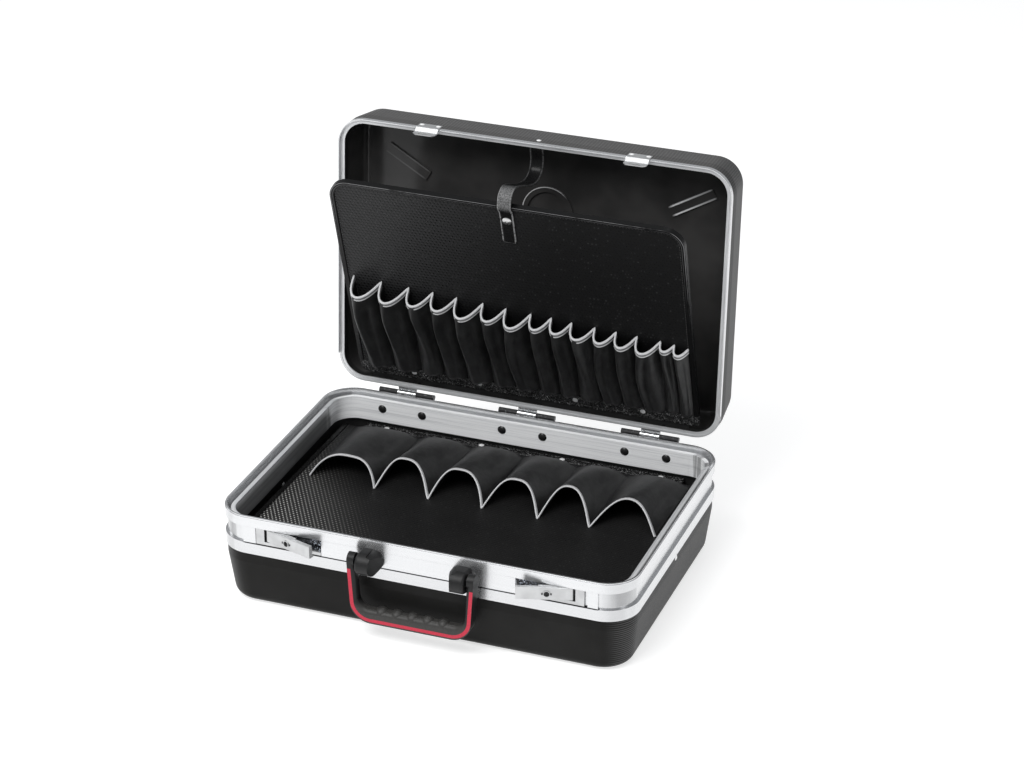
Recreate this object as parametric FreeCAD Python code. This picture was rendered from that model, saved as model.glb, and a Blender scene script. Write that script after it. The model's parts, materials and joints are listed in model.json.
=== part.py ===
import FreeCAD, Part
import math
import os

# Hard tool case: aluminium edge frames, moulded shells, hinged lid, two swing latches,
# a folding handle, a lid tool panel and a lift-up base tool panel.
# Millimetres. X right, Y back, Z up. Origin on the floor, centred under the base shell.
# The lid and what it carries are drawn shut and then turned open about the hinge pins.

# Whole case
case_width = 480.0
case_depth = 335.0
corner_radius = 37.0
base_rise = 111.4
lid_open_angle = 93.26
clearance = 0.35
overrun = 4.0

# Base frame extrusion
frame_height = 46.0
lower_band_height = 13.4
channel_height = 20.0
channel_depth = 3.0
wall = 1.5
lip_inset = 0.6
lip_wall = 2.0
lip_bevel = 1.5
groove_floor_wall = 1.7
ridge_inset = 6.7
ridge_width = 4.9
ridge_drop = 6.5
inner_wall_drop = 36.3
slot_inner_inset = 4.7

# Base shell
shell_wall = 2.8
shell_rim_inset = 1.8
shell_rim_height = 24.0
shell_bottom_inset = 8.0
shell_bottom_corner = 34.0
shell_bottom_round = 11.0
rail_wall = 1.5
rail_height = 21.0

# Lid frame and shell, drawn shut
lid_inset = 5.1
lid_flange_wall = 1.3
lid_flange_drop = 4.4
lid_web_width = 6.3
lid_web_wall = 1.4
lid_seam_offset = 2.8
lid_seam_width = 0.8
lid_seam_depth = 0.7
lid_depth = 65.1
lid_shell_wall = 2.3
lid_rim_height = 13.0
lid_top_inset = 4.8
lid_top_round = 9.0
lid_rail_wall = 1.4
lid_rail_height = 12.8
bead_height = 2.2
bead_width = 13.0
disc_radius = 31.0
disc_centre_back = 60.0
bead_outer = 42.0
bead_inner = 93.0
bead_front = 112.0
bead_run = 29.0

# Hinges
hinge_back = 4.87
hinge_spacing = 150.5
hinge_half = 34.6
knuckle_radius = 3.2
pin_radius = 1.25
pin_play = 0.05
knuckle_gap = 0.5
lid_knuckle_half = 11.5
leaf_wall = 1.5
base_leaf_drop = 17.5
lid_leaf_rise = 9.0
base_rivet_offset = 25.1
base_rivet_drop = 17.5
lid_rivet_offset = 15.0
lid_rivet_rise = 5.2
rivet_radius = 2.0
dome_radius = 5.2
dome_height = 2.4
rivet_tail_radius = 3.0
rivet_tail_height = 0.8
lid_rivet_share = 0.62
hasp_rivet_share = 0.54

# Front channel trim
trim_wall = 2.5
trim_play = 0.3
trim_end = 205.0
trim_gap = 3.4

# Swing latches
latch_pivot_x = 175.0
latch_length = 60.0
latch_tail = 2.2
latch_pivot_inset = 4.0
latch_rest_angle = 17.0
latch_plate_gap = 4.8
latch_plate_end = 190.0
lever_height = 14.6
lever_wall = 1.2
lever_round_share = 0.6
lever_flange = 6.5
lever_notch_inset = 4.6
lever_face_inset = 0.4
latch_window_play = 2.5
latch_pin_radius = 1.5
latch_pin_play = 0.08
pin_seat = 1.2
tray_wall = 1.2
tray_inner_inset = 9.6
sill_gap = 0.3
lock_radius = 3.9
lock_offset = 27.0
lock_proud = 0.9
lock_depth = 5.0
lock_play = 0.06
lock_ear = 1.7
keyway_width = 1.2
keyway_height = 4.2
keyway_depth = 1.0

# Latch hooks carried by the levers
hook_pin_offset = 34.5
hook_pin_inset = 4.4
hook_pin_radius = 1.0
hook_pin_play = 0.06
hook_wall = 1.8
hook_boss_radius = 2.3
hook_arm_height = 2.6
hook_nose_width = 7.0
hook_nose_inset = 9.5

# Hasps on the lid
hasp_x = 125.0
hasp_half = 13.5
hasp_wall = 1.0
hasp_rise = 12.6
hasp_reach = 14.5
hasp_inset = 8.2
hasp_bend = 3.9
hasp_tip_chamfer = 4.0
hasp_slot_length = 14.0
hasp_slot_height = 3.4
hasp_slot_end = 2.6
hasp_rivet_spacing = 20.0
hasp_rivet_rise = 8.8
hasp_notch_half = 15.5

# Handle
handle_half = 73.0
handle_arm = 8.0
handle_depth = 15.0
handle_pivot_out = 14.5
handle_pivot_drop = 17.9
handle_drop = 72.5
handle_grip = 15.5
handle_corner = 24.0
handle_inner_corner = 13.0
handle_taper = 4.0
handle_round = 5.5
handle_arm_top = 9.0
handle_pin_radius = 2.5
handle_pin_play = 0.08
bracket_gap = 2.3
bracket_width = 24.5
bracket_taper = 9.0
bracket_foot = 9.0
bracket_top_round = 12.5
bracket_boss = 12.5
bracket_boss_drop = 3.5
bracket_low_rise = 7.0
bracket_top_drop = 10.5
bracket_round = 3.0
bracket_shoulder_turn = 20.0
bracket_rivet_rise = 6.0
finger_count = 5
finger_pitch = 18.0
finger_radius = 8.3
finger_lift = 2.2
finger_back = 0.8
inlay_width = 4.0
inlay_edge = 1.2
inlay_depth = 1.6

# Lid tool panel, with s up the panel from its lower edge and d out of its face
panel_half = 208.9
panel_length = 289.8
panel_lean = 20.6
panel_edge_back = 150.9
panel_edge_rise = 14.9
panel_wall = 3.0
panel_low_corner = 14.0
panel_top_corner = 24.0
hem_length = 15.5
hem_gap = 0.8
binding_width = 5.0
binding_thick = 6.4
panel_rivet_s = 9.0
panel_rivet_inner = 59.0
panel_rivet_outer = 141.0
panel_rivet_dome = 3.2
bracket_strip_wall = 1.6
pocket_seams = [-197.0, -163.0, -129.5, -100.0, -71.5, -39.5, -12.0, 18.0, 42.5, 66.5, 94.0, 119.0,
                143.5, 171.0, 187.0, 203.0]
pocket_low_s = 19.0
pocket_left_s = 149.5
pocket_right_s = 119.5
pocket_open_drop = 6.5
pocket_open_reach = 27.0
pocket_bulge_share = 0.82
crown_share = 0.34
side_share = 0.13
pocket_seam_rise = 2.0
pocket_trim_wall = 1.0
pocket_trim_drop = 6.0

# Strap from the lid's front wall to the lid panel
strap_x = 4.0
strap_width = 16.0
strap_wall = 1.8
strap_end_s = 238.0
strap_snap_s = 269.0
strap_rise = 17.5
strap_sag = 24.0
strap_back = 97.0
strap_front = 13.0
strap_sag_shares = [(0.6, 1.0), (1.0, 0.93), (1.0, 0.77), (0.5, 0.55)]
strap_rise_shares = [(0.5, 0.25), (1.0, 0.06)]
strap_turn_share = 0.72
strap_lid_rise = 7.6
snap_radius = 5.5
snap_height = 1.8

# Base tool panel, with the hinge line at the rear hem
tray_half = 221.0
tray_back = 148.0
tray_front = 150.0
tray_corner = 24.0
tray_board_wall = 3.0
tray_rear_z = 67.0
tray_tilt = 1.2
tray_hem_length = 14.0
tray_hem_gap = 0.8
tray_rivet_inner = 50.0
tray_rivet_outer = 170.0
base_pocket_cusps = [-205.0, -122.5, -57.0, 7.0, 74.0, 134.5, 208.0]
base_pocket_front = 4.0
base_pocket_rise = 27.5
base_pocket_lean = 31.0
base_pocket_end_gap = 4.0
base_trim_wall = 1.1
rest_width = 30.0
rest_depth = 12.0
rest_height = 12.0

# Small fasteners between shell and rail
side_rivet_drop = 51.4
side_rivet_dome = 3.4

# Heights that follow from the sizes above
lip_top = base_rise
frame_low = lip_top - frame_height
channel_low = frame_low + lower_band_height
channel_top = channel_low + channel_height
groove_floor = channel_top + groove_floor_wall
ridge_top = lip_top - ridge_drop
inner_wall_low = ridge_top - inner_wall_drop + groove_floor_wall + ridge_drop
ridge_inner = ridge_inset + ridge_width
web_inner = channel_depth + wall
half_width = case_width / 2
half_depth = case_depth / 2
shell_top = channel_low - wall - clearance
shell_rim_low = shell_top - shell_rim_height
lid_face = groove_floor + clearance
lid_web_low = lid_face + lid_flange_drop
lid_web_top = lid_web_low + lid_web_wall
lid_top = lid_face + lid_depth
hinge_y = half_depth + hinge_back
hinge_z = lip_top
panel_edge_z = lid_face + panel_edge_rise
lever_top = channel_top - clearance
lever_low = lever_top - lever_height
latch_plate_start = latch_pivot_x + latch_plate_gap
handle_pivot_y = -half_depth - handle_pivot_out
handle_pivot_z = lip_top - handle_pivot_drop
slot_z = lid_face - hasp_reach + hasp_slot_end + hasp_slot_height / 2

V = FreeCAD.Vector
X_AXIS = V(1, 0, 0)
Y_AXIS = V(0, 1, 0)
Z_AXIS = V(0, 0, 1)


def box(x0, x1, y0, y1, z0, z1):
    return Part.makeBox(x1 - x0, y1 - y0, z1 - z0, V(x0, y0, z0))


def rod(radius, length, base, axis):
    return Part.makeCylinder(radius, length, base, axis)


def fuse(shapes):
    return shapes[0].multiFuse(shapes[1:]).removeSplitter() if len(shapes) > 1 else shapes[0]


def solid_of(shape):
    return shape.Solids[0] if len(shape.Solids) == 1 else shape


def rounded_wire(x0, x1, y0, y1, radii, z):
    """Rectangle with its own radius at each corner: front left, front right, back right, back left."""
    corners = [(x0, y0, 1, 1), (x1, y0, -1, 1), (x1, y1, -1, -1), (x0, y1, 1, -1)]
    points = []
    for (cx, cy, sx, sy), r in zip(corners, radii):
        mid = r * (1 - math.sqrt(0.5))
        along = V(cx + sx * r, cy, z)
        across = V(cx, cy + sy * r, z)
        first, last = (across, along) if sx * sy > 0 else (along, across)
        points.append((first, V(cx + sx * mid, cy + sy * mid, z), last))
    edges = []
    for i, (first, mid, last) in enumerate(points):
        edges.append(Part.Arc(first, mid, last).toShape())
        edges.append(Part.LineSegment(last, points[(i + 1) % len(points)][0]).toShape())
    return Part.Wire(edges)


def case_wire(inset, z, radius=None):
    r = corner_radius - inset if radius is None else radius
    x = half_width - inset
    y = half_depth - inset
    return rounded_wire(-x, x, -y, y, [r] * 4, z)


def case_block(inset, z0, z1):
    return Part.Face(case_wire(inset, z0)).extrude(V(0, 0, z1 - z0))


def ring(outer, inner, z0, z1):
    return case_block(outer, z0, z1).cut(case_block(inner, z0 - overrun, z1 + overrun))


def mirrored(shape):
    return shape.mirror(V(0, 0, 0), X_AXIS)


def opened(shape):
    copy = shape.copy()
    copy.rotate(V(0, hinge_y, hinge_z), X_AXIS, -lid_open_angle)
    return copy


def polygon_prism(points, direction):
    return Part.Face(Part.makePolygon(points + [points[0]])).extrude(direction)


def dome(radius, height, base, axis):
    """Low domed rivet head standing on base along axis."""
    sphere_radius = (radius * radius + height * height) / (2 * height)
    unit = V(axis).normalize()
    centre = base - unit * (sphere_radius - height)
    ball = Part.makeSphere(sphere_radius, centre)
    return ball.common(rod(radius + height, height * 2, base, unit))


def rivet(shank, length, head_radius, head_height, tail_radius, tail_height, base, axis):
    """Rivet with its head seated on base, the shank running back against axis."""
    unit = V(axis).normalize()
    end = base - unit * length
    head = dome(head_radius, head_height, base, unit)
    body = rod(shank, length, end, unit)
    tail = dome(tail_radius, tail_height, end, unit * -1)
    return fuse([head, body, tail])


# Base frame

def base_frame_blank():
    return fuse([
        ring(0, wall, frame_low, channel_low),
        ring(0, slot_inner_inset + wall, channel_low - wall, channel_low),
        ring(channel_depth, web_inner, channel_low - wall, groove_floor),
        ring(0, ridge_inset + wall, channel_top, groove_floor),
        ring(0, lip_inset + lip_wall, channel_top, lip_top - lip_bevel),
        ring(lip_inset, lip_inset + lip_wall, channel_top, lip_top),
        ring(ridge_inset, ridge_inset + wall, channel_top, ridge_top),
        ring(ridge_inset, ridge_inner, ridge_top - wall, ridge_top),
        ring(ridge_inner - wall, ridge_inner, inner_wall_low, ridge_top),
        ring(slot_inner_inset, ridge_inner, inner_wall_low, inner_wall_low + wall),
        ring(slot_inner_inset, slot_inner_inset + wall, inner_wall_low, channel_low),
    ])


def latch_window():
    """Opening through the channel web behind one right-hand latch."""
    x0 = latch_pivot_x - latch_length - latch_window_play
    return box(x0, latch_plate_end, -half_depth - overrun, -half_depth + web_inner + clearance,
               channel_low, channel_top)


def hasp_notch():
    """Notch that lets one right-hand hasp drop through the groove and the ridge."""
    y0 = -half_depth + lip_inset + lip_wall
    y1 = -half_depth + hasp_inset + hasp_wall + clearance
    return box(hasp_x - hasp_notch_half, hasp_x + hasp_notch_half, y0, y1,
               channel_top - overrun, lip_top)


def base_rivet_line(x):
    """Base and axis of one hinge rivet in the base frame, seated on the inner wall."""
    return V(x, half_depth - ridge_inner, lip_top - base_rivet_drop), V(0, -1, 0)


def hinge_centres():
    return [-hinge_spacing, 0.0, hinge_spacing]


def base_rivet_places():
    return [c + side * base_rivet_offset for c in hinge_centres() for side in (-1, 1)]


def lid_rivet_places():
    return [c + side * lid_rivet_offset for c in hinge_centres() for side in (-1, 1)]


def latch_pin_place():
    return V(latch_pivot_x, -half_depth + latch_pivot_inset, 0)


def bracket_centre_x():
    return handle_half - handle_arm - bracket_gap - bracket_width / 2


def bracket_rivet_places():
    middle = (channel_low + channel_top) / 2
    rise = [middle - bracket_rivet_rise, middle + bracket_rivet_rise]
    return [(side * bracket_centre_x(), z) for side in (-1, 1) for z in rise]


def base_frame():
    shape = base_frame_blank()
    window = latch_window()
    notch = hasp_notch()
    pin = rod(latch_pin_radius, pin_seat, latch_pin_place() + V(0, 0, channel_top), Z_AXIS)
    cuts = [window, mirrored(window), notch, mirrored(notch), pin, mirrored(pin)]
    for x in base_rivet_places():
        base, axis = base_rivet_line(x)
        cuts.append(rod(rivet_radius, ridge_inner, base - axis * ridge_inner, axis))
    for x, z in bracket_rivet_places():
        cuts.append(rod(rivet_radius, web_inner + overrun, V(x, -half_depth - overrun, z), Y_AXIS))
    return solid_of(shape.cut(fuse(cuts)))


# Base shell and what closes its rim

def tapered_tub(inset_step, floor_z, top_z, low_round):
    """Upright rim block over a drafted block with rounded bottom edges."""
    rim = case_block(shell_rim_inset + inset_step, shell_rim_low, top_z)
    share = (shell_rim_low - floor_z) / shell_rim_low
    low_inset = shell_rim_inset + (shell_bottom_inset - shell_rim_inset) * share
    low_radius = shell_bottom_corner - inset_step
    top = case_wire(shell_rim_inset + inset_step, shell_rim_low)
    low = case_wire(low_inset + inset_step, floor_z, low_radius)
    taper = Part.makeLoft([low, top], True, True)
    edges = [e for e in taper.Edges if e.BoundBox.ZMax < floor_z + clearance]
    taper = taper.makeFillet(low_round, edges)
    return rim.fuse(taper).removeSplitter()


def side_rivet_z():
    return lip_top - side_rivet_drop


def base_shell():
    outer = tapered_tub(0, 0, shell_top, shell_bottom_round)
    inner = tapered_tub(shell_wall, shell_wall, shell_top + overrun, shell_bottom_round - shell_wall)
    shape = outer.cut(inner)
    hole = rod(rivet_radius, case_width + 2 * overrun, V(-half_width - overrun, 0, side_rivet_z()), X_AXIS)
    return solid_of(shape.cut(hole))


def base_inner_rail():
    outer = shell_rim_inset + shell_wall + clearance / 2
    shape = ring(outer, outer + rail_wall, inner_wall_low - rail_height, inner_wall_low)
    hole = rod(rivet_radius, case_width + 2 * overrun, V(-half_width - overrun, 0, side_rivet_z()), X_AXIS)
    return solid_of(shape.cut(hole))


def side_rivets():
    out = []
    reach = shell_wall + clearance / 2 + rail_wall
    for side in (-1, 1):
        base = V(side * (half_width - shell_rim_inset), 0, side_rivet_z())
        out.append(rivet(rivet_radius, reach, side_rivet_dome, dome_height / 2,
                         side_rivet_dome, dome_height / 2, base, V(side, 0, 0)))
    return Part.makeCompound(out)


# Front trim and handle brackets

def trim_piece(x0, x1):
    y0 = -half_depth + lever_face_inset
    shape = box(x0, x1, y0, y0 + trim_wall, channel_low + trim_play, channel_top - trim_play)
    cuts = []
    for x, z in bracket_rivet_places():
        if x0 < x < x1:
            cuts.append(rod(rivet_radius, web_inner + overrun, V(x, -half_depth - overrun, z), Y_AXIS))
    return solid_of(shape.cut(fuse(cuts))) if cuts else shape


def front_trim_middle():
    end = latch_pivot_x - latch_length - latch_window_play - trim_play
    return trim_piece(-end, end)


def front_trim_left():
    return trim_piece(-trim_end, -latch_plate_end - trim_play)


def front_trim_right():
    return trim_piece(latch_plate_end + trim_gap, trim_end)


def bracket_side_profile(x0):
    """Side view of a bracket: flat on the frame, tangent lines up and down to its round boss."""
    boss = V(x0, handle_pivot_y, handle_pivot_z - bracket_boss_drop)
    low = V(x0, -half_depth, frame_low + bracket_low_rise)
    high = V(x0, -half_depth, lip_top - bracket_top_drop)
    tangents = []
    for corner, turn in ((low, 1), (high, -1)):
        to_centre = boss - corner
        distance = to_centre.Length
        angle = math.asin(bracket_boss / distance) * turn
        reach = math.sqrt(distance ** 2 - bracket_boss ** 2)
        unit = to_centre.normalize()
        dy = unit.y * math.cos(angle) - unit.z * math.sin(angle)
        dz = unit.y * math.sin(angle) + unit.z * math.cos(angle)
        tangents.append(V(x0, corner.y + dy * reach, corner.z + dz * reach))
    front = boss - V(0, bracket_boss, 0)
    return Part.Wire([
        Part.LineSegment(low, tangents[0]).toShape(),
        Part.Arc(tangents[0], front, tangents[1]).toShape(),
        Part.LineSegment(tangents[1], high).toShape(),
        Part.LineSegment(high, low).toShape(),
    ])


def bracket_front_profile(x0, x1):
    """Front view of a bracket: upright outer side, round inner shoulder, narrow foot."""
    y = -half_depth + overrun
    top = lip_top - bracket_top_drop
    r = bracket_top_round
    centre = V(x0 + r, y, top - r)
    foot = V(x1 - bracket_foot, y, frame_low + bracket_low_rise)
    to_centre = centre - foot
    distance = to_centre.Length
    angle = -math.asin(r / distance)
    reach = math.sqrt(distance ** 2 - r ** 2)
    unit = to_centre.normalize()
    touch = V(foot.x + (unit.x * math.cos(angle) + unit.z * math.sin(angle)) * reach, y,
              foot.z + (unit.z * math.cos(angle) - unit.x * math.sin(angle)) * reach)
    crown = V(centre.x, y, top + overrun)
    shoulder = V(centre.x, y, top)
    turn = math.radians(bracket_shoulder_turn)
    mid = V(centre.x - r * math.cos(turn), y, centre.z + r * math.sin(turn))
    side = V(x1 + overrun, y, 0)
    return Part.Wire([
        Part.LineSegment(foot, touch).toShape(),
        Part.Arc(touch, mid, shoulder).toShape(),
        Part.LineSegment(shoulder, crown).toShape(),
        Part.LineSegment(crown, V(side.x, y, top + overrun)).toShape(),
        Part.LineSegment(V(side.x, y, top + overrun), V(side.x, y, foot.z)).toShape(),
        Part.LineSegment(V(side.x, y, foot.z), foot).toShape(),
    ])


def handle_bracket(side):
    """Rounded lug riveted over the frame, its boss carrying the handle's pin."""
    x0 = bracket_centre_x() - bracket_width / 2
    x1 = x0 + bracket_width
    depth = handle_pivot_out + bracket_boss
    shape = Part.Face(bracket_side_profile(x0)).extrude(V(bracket_width, 0, 0))
    edges = [e for e in shape.Edges
             if e.BoundBox.XLength < clearance and e.BoundBox.XMin > x1 - overrun
             and e.BoundBox.YMin < -half_depth - overrun]
    shape = shape.makeFillet(bracket_round, edges)
    front = Part.Face(bracket_front_profile(x0, x1)).extrude(V(0, -depth - 2 * overrun, 0))
    taper = polygon_prism([V(x0, -half_depth, 0), V(x0 + bracket_taper, -half_depth - depth, 0),
                           V(x0, -half_depth - depth, 0)], V(0, 0, case_width))
    shape = shape.common(front).cut(taper)
    hole_start = V(x0 + bracket_taper, handle_pivot_y, handle_pivot_z)
    shape = shape.cut(rod(handle_pin_radius, bracket_width, hole_start, X_AXIS))
    for x, z in bracket_rivet_places():
        if x > 0:
            base = V(x, -half_depth - handle_pivot_out / 2, z)
            shape = shape.cut(rod(rivet_radius, handle_pivot_out / 2, base, Y_AXIS))
    return solid_of(shape if side > 0 else mirrored(shape))


def handle_bracket_rivets():
    out = []
    for x, z in bracket_rivet_places():
        base = V(x, -half_depth + web_inner, z)
        start = V(x, -half_depth - handle_pivot_out / 2, z)
        shank = rod(rivet_radius, web_inner + handle_pivot_out / 2, start, Y_AXIS)
        out.append(fuse([shank, dome(rivet_tail_radius, rivet_tail_height, base, Y_AXIS)]))
    return Part.makeCompound(out)


def handle_pin(side):
    x0 = bracket_centre_x() - bracket_width / 2 + bracket_taper
    x1 = handle_half - bracket_round / 2
    shape = rod(handle_pin_radius, x1 - x0, V(x0, handle_pivot_y, handle_pivot_z), X_AXIS)
    return shape if side > 0 else mirrored(shape)


# Handle

def handle_front_outline(out, top_z, low_z, corner):
    """Front view of the handle's outer line: sides closing in towards two rounded lower corners."""
    y = handle_pivot_y - handle_depth / 2
    low = out - handle_taper
    side = V(low - out, 0, low_z - top_z).normalize()
    turn = math.tan(math.acos(-side.x) / 2) * corner
    points = [V(-out, y, top_z), V(out, y, top_z)]
    corner_right = V(low, y, low_z)
    corner_left = V(-low, y, low_z)
    right_start = corner_right - side * turn
    right_end = corner_right - V(turn, 0, 0)
    left_start = corner_left + V(turn, 0, 0)
    left_end = corner_left - V(-side.x, 0, side.z) * turn

    def arc_middle(start, point, end):
        chord = (start + end) / 2
        reach = (point - chord).Length
        half = (end - start).Length / 2
        centre_gap = math.sqrt(corner ** 2 - half ** 2)
        return chord + (point - chord).normalize() * min(corner - centre_gap, reach)

    edges = [
        Part.LineSegment(points[0], points[1]).toShape(),
        Part.LineSegment(points[1], right_start).toShape(),
        Part.Arc(right_start, arc_middle(right_start, corner_right, right_end), right_end).toShape(),
        Part.LineSegment(right_end, left_start).toShape(),
        Part.Arc(left_start, arc_middle(left_start, corner_left, left_end), left_end).toShape(),
        Part.LineSegment(left_end, points[0]).toShape(),
    ]
    return Part.Face(Part.Wire(edges)).extrude(V(0, handle_depth, 0))


def handle_grip_shape():
    low = handle_pivot_z - handle_drop
    face = handle_pivot_y - handle_depth / 2
    block = handle_front_outline(handle_half, handle_pivot_z, low, handle_corner)
    window = handle_front_outline(handle_half - handle_arm, handle_pivot_z + handle_arm_top,
                                  low + handle_grip, handle_inner_corner)
    shape = block.cut(window)
    inner_z = low + handle_grip

    def on_rim(edge):
        box = edge.BoundBox
        at_front = abs(box.YMin - face) < clearance / 2
        at_back = abs(box.YMax - face - handle_depth) < clearance / 2
        on_bar = inner_z - clearance < box.ZMin and box.ZMax < inner_z + handle_inner_corner + handle_round
        return (at_front or at_back) and on_bar and box.YLength < clearance / 2 and box.XLength > clearance

    rims = [edge for edge in shape.Edges if on_rim(edge)]
    shape = shape.makeFillet(handle_round, rims)
    ends = [rod(handle_depth / 2, handle_arm, V(x, handle_pivot_y, handle_pivot_z), X_AXIS)
            for x in (-handle_half, handle_half - handle_arm)]
    shape = fuse([shape] + ends)
    bar_z = low + handle_grip - handle_depth / 2 + finger_lift
    bar_y = handle_pivot_y + finger_back
    middle = (finger_count - 1) / 2
    fingers = [Part.makeSphere(finger_radius, V((i - middle) * finger_pitch, bar_y, bar_z))
               for i in range(finger_count)]
    shape = fuse([shape] + fingers)
    start = V(-half_width, handle_pivot_y, handle_pivot_z)
    pin = rod(handle_pin_radius + handle_pin_play, case_width, start, X_AXIS)
    gap = box(-handle_half + bracket_round / 2, handle_half - bracket_round / 2,
              handle_pivot_y - handle_depth, handle_pivot_y + handle_depth,
              handle_pivot_z - handle_depth, handle_pivot_z + handle_depth)
    return shape.cut(pin.common(gap))


def inlay_block(edge):
    low = handle_pivot_z - handle_drop + inlay_edge + edge
    top = handle_pivot_z - handle_arm_top
    return handle_front_outline(handle_half - edge, top, low, handle_corner - edge)


def handle_inlay_body():
    outer = inlay_block(inlay_edge / 2)
    inner = inlay_block(inlay_edge / 2 + inlay_width)
    inner = inner.fuse(inner.translated(V(0, 0, inlay_width * 3)))
    face = handle_pivot_y - handle_depth / 2
    keep = box(-half_width, half_width, face, face + inlay_depth, 0, lip_top)
    return solid_of(outer.cut(inner).common(keep))


def handle_grip_node():
    return solid_of(handle_grip_shape().cut(handle_inlay_body()))


# Latches, drawn for the right-hand side and mirrored for the left

def latch_housing():
    """End plate, sill and tray that line one latch window."""
    y_face = -half_depth + lever_face_inset
    y_back = -half_depth + tray_inner_inset
    x0 = latch_pivot_x - latch_length - latch_window_play + sill_gap
    z0 = channel_low + sill_gap
    end_plate = box(latch_plate_start, latch_plate_end - sill_gap, y_face, -half_depth + channel_depth,
                    z0, channel_top - sill_gap)
    end_wall = box(latch_plate_start, latch_plate_start + tray_wall, y_face, y_back,
                   z0, channel_top - sill_gap)
    sill = box(x0, latch_plate_end - sill_gap, y_face, y_face + tray_wall, z0, lever_low - clearance)
    tray = box(x0, latch_plate_end - sill_gap, y_face, y_back, z0, z0 + tray_wall)
    place = latch_pin_place()
    seat = rod(latch_pin_radius * 2, lever_low - clearance - z0, place + V(0, 0, z0), Z_AXIS)
    shape = fuse([end_plate, end_wall, sill, tray, seat])
    return solid_of(shape.cut(rod(latch_pin_radius, overrun * 2, place + V(0, 0, z0), Z_AXIS)))


def latch_pivot_pin():
    z0 = channel_low + sill_gap
    return rod(latch_pin_radius, channel_top + pin_seat - z0, latch_pin_place() + V(0, 0, z0), Z_AXIS)


def lever_swing(shape):
    copy = shape.copy()
    copy.rotate(latch_pin_place(), Z_AXIS, latch_rest_angle)
    return copy


def lock_centre():
    return V(latch_pivot_x - lock_offset, -half_depth + lever_face_inset, (lever_low + lever_top) / 2)


def latch_lever():
    """Folded sheet lever: face, two flanges, a shut free end and eyes for its pins."""
    x0 = latch_pivot_x - latch_length
    x1 = latch_pivot_x + latch_tail
    y0 = -half_depth + lever_face_inset
    y1 = y0 + lever_flange
    face = box(x0, x1, y0, y0 + lever_wall, lever_low, lever_top)
    low = box(x0, x1, y0, y1, lever_low, lever_low + lever_wall)
    top = box(x0, x1, y0, y1, lever_top - lever_wall, lever_top)
    end = box(x0, x0 + lever_wall, y0, y1 - lever_wall, lever_low, lever_top)
    shape = fuse([face, low, top, end])
    corners = [e for e in shape.Edges
               if e.BoundBox.ZLength < clearance and e.BoundBox.YLength < clearance
               and e.BoundBox.YMax < y0 + clearance]
    shape = shape.makeFillet(lever_wall * lever_round_share, corners)
    pin = rod(latch_pin_radius + latch_pin_play, case_width, latch_pin_place(), Z_AXIS)
    place = lock_centre()
    hole = rod(lock_radius + lock_play, lever_wall * 2, place - V(0, lever_wall / 2, 0), Y_AXIS)
    hook_pin = rod(hook_pin_radius, case_width, hook_pin_place(), Z_AXIS)
    room = box(x0 - overrun, hasp_x + hasp_half + clearance, -half_depth + lever_notch_inset, y1 + overrun,
               lid_face - clearance - hasp_bend - hasp_wall * 2, lever_top + overrun)
    return lever_swing(solid_of(shape.cut(pin).cut(hole).cut(hook_pin).cut(room)))


def lock_cylinder():
    """Key lock set through the lever's face, with two small ears and a keyway."""
    place = lock_centre()
    core = rod(lock_radius, lock_depth, place - V(0, lock_proud, 0), Y_AXIS)
    back = rod(lock_radius + lock_ear / 2, lock_ear, place + V(0, lever_wall + lock_play, 0), Y_AXIS)
    ears = box(place.x - lock_radius - lock_ear, place.x + lock_radius + lock_ear,
               place.y - lock_proud, place.y - lock_play, place.z - lock_ear / 2, place.z + lock_ear / 2)
    key = box(place.x - keyway_width / 2, place.x + keyway_width / 2,
              place.y - lock_proud - keyway_depth, place.y - lock_proud + keyway_depth,
              place.z - keyway_height / 2, place.z + keyway_height / 2)
    return lever_swing(solid_of(fuse([core, back, ears]).cut(key)))


def hook_pin_place():
    return V(latch_pivot_x - hook_pin_offset, -half_depth + hook_pin_inset, 0)


def latch_hook_pin():
    z0 = lever_low
    return lever_swing(rod(hook_pin_radius, lever_height, hook_pin_place() + V(0, 0, z0), Z_AXIS))


def latch_hook():
    """Flat hook on a pin in the lever, its nose entering the hasp's slot when the lever is shut."""
    place = hook_pin_place()
    z0 = slot_z - hook_wall / 2
    boss = rod(hook_boss_radius, hook_wall, place + V(0, 0, z0), Z_AXIS)
    nose_x0 = hasp_x - hook_nose_width / 2
    nose_x1 = hasp_x + hook_nose_width / 2
    y_arm0 = place.y - hook_arm_height / 2
    y_arm1 = place.y + hook_arm_height / 2
    y_tip = -half_depth + hook_nose_inset
    arm = box(nose_x0, place.x, y_arm0, y_arm1, z0, z0 + hook_wall)
    nose = polygon_prism([
        V(nose_x0, y_arm1, z0), V(nose_x1, y_arm1, z0),
        V(nose_x1 - hook_wall, y_tip, z0), V(nose_x0 + hook_wall / 2, y_tip, z0),
    ], V(0, 0, hook_wall))
    shape = fuse([boss, arm, nose])
    return lever_swing(solid_of(shape.cut(rod(hook_pin_radius + hook_pin_play, case_width, place, Z_AXIS))))


# Hinges

def knuckle(x0, x1):
    return rod(knuckle_radius, x1 - x0, V(x0, hinge_y, hinge_z), X_AXIS)


def hinge_bore():
    start = V(-half_width - overrun, hinge_y, hinge_z)
    return rod(pin_radius + pin_play, case_width + 2 * overrun, start, X_AXIS)


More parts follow.
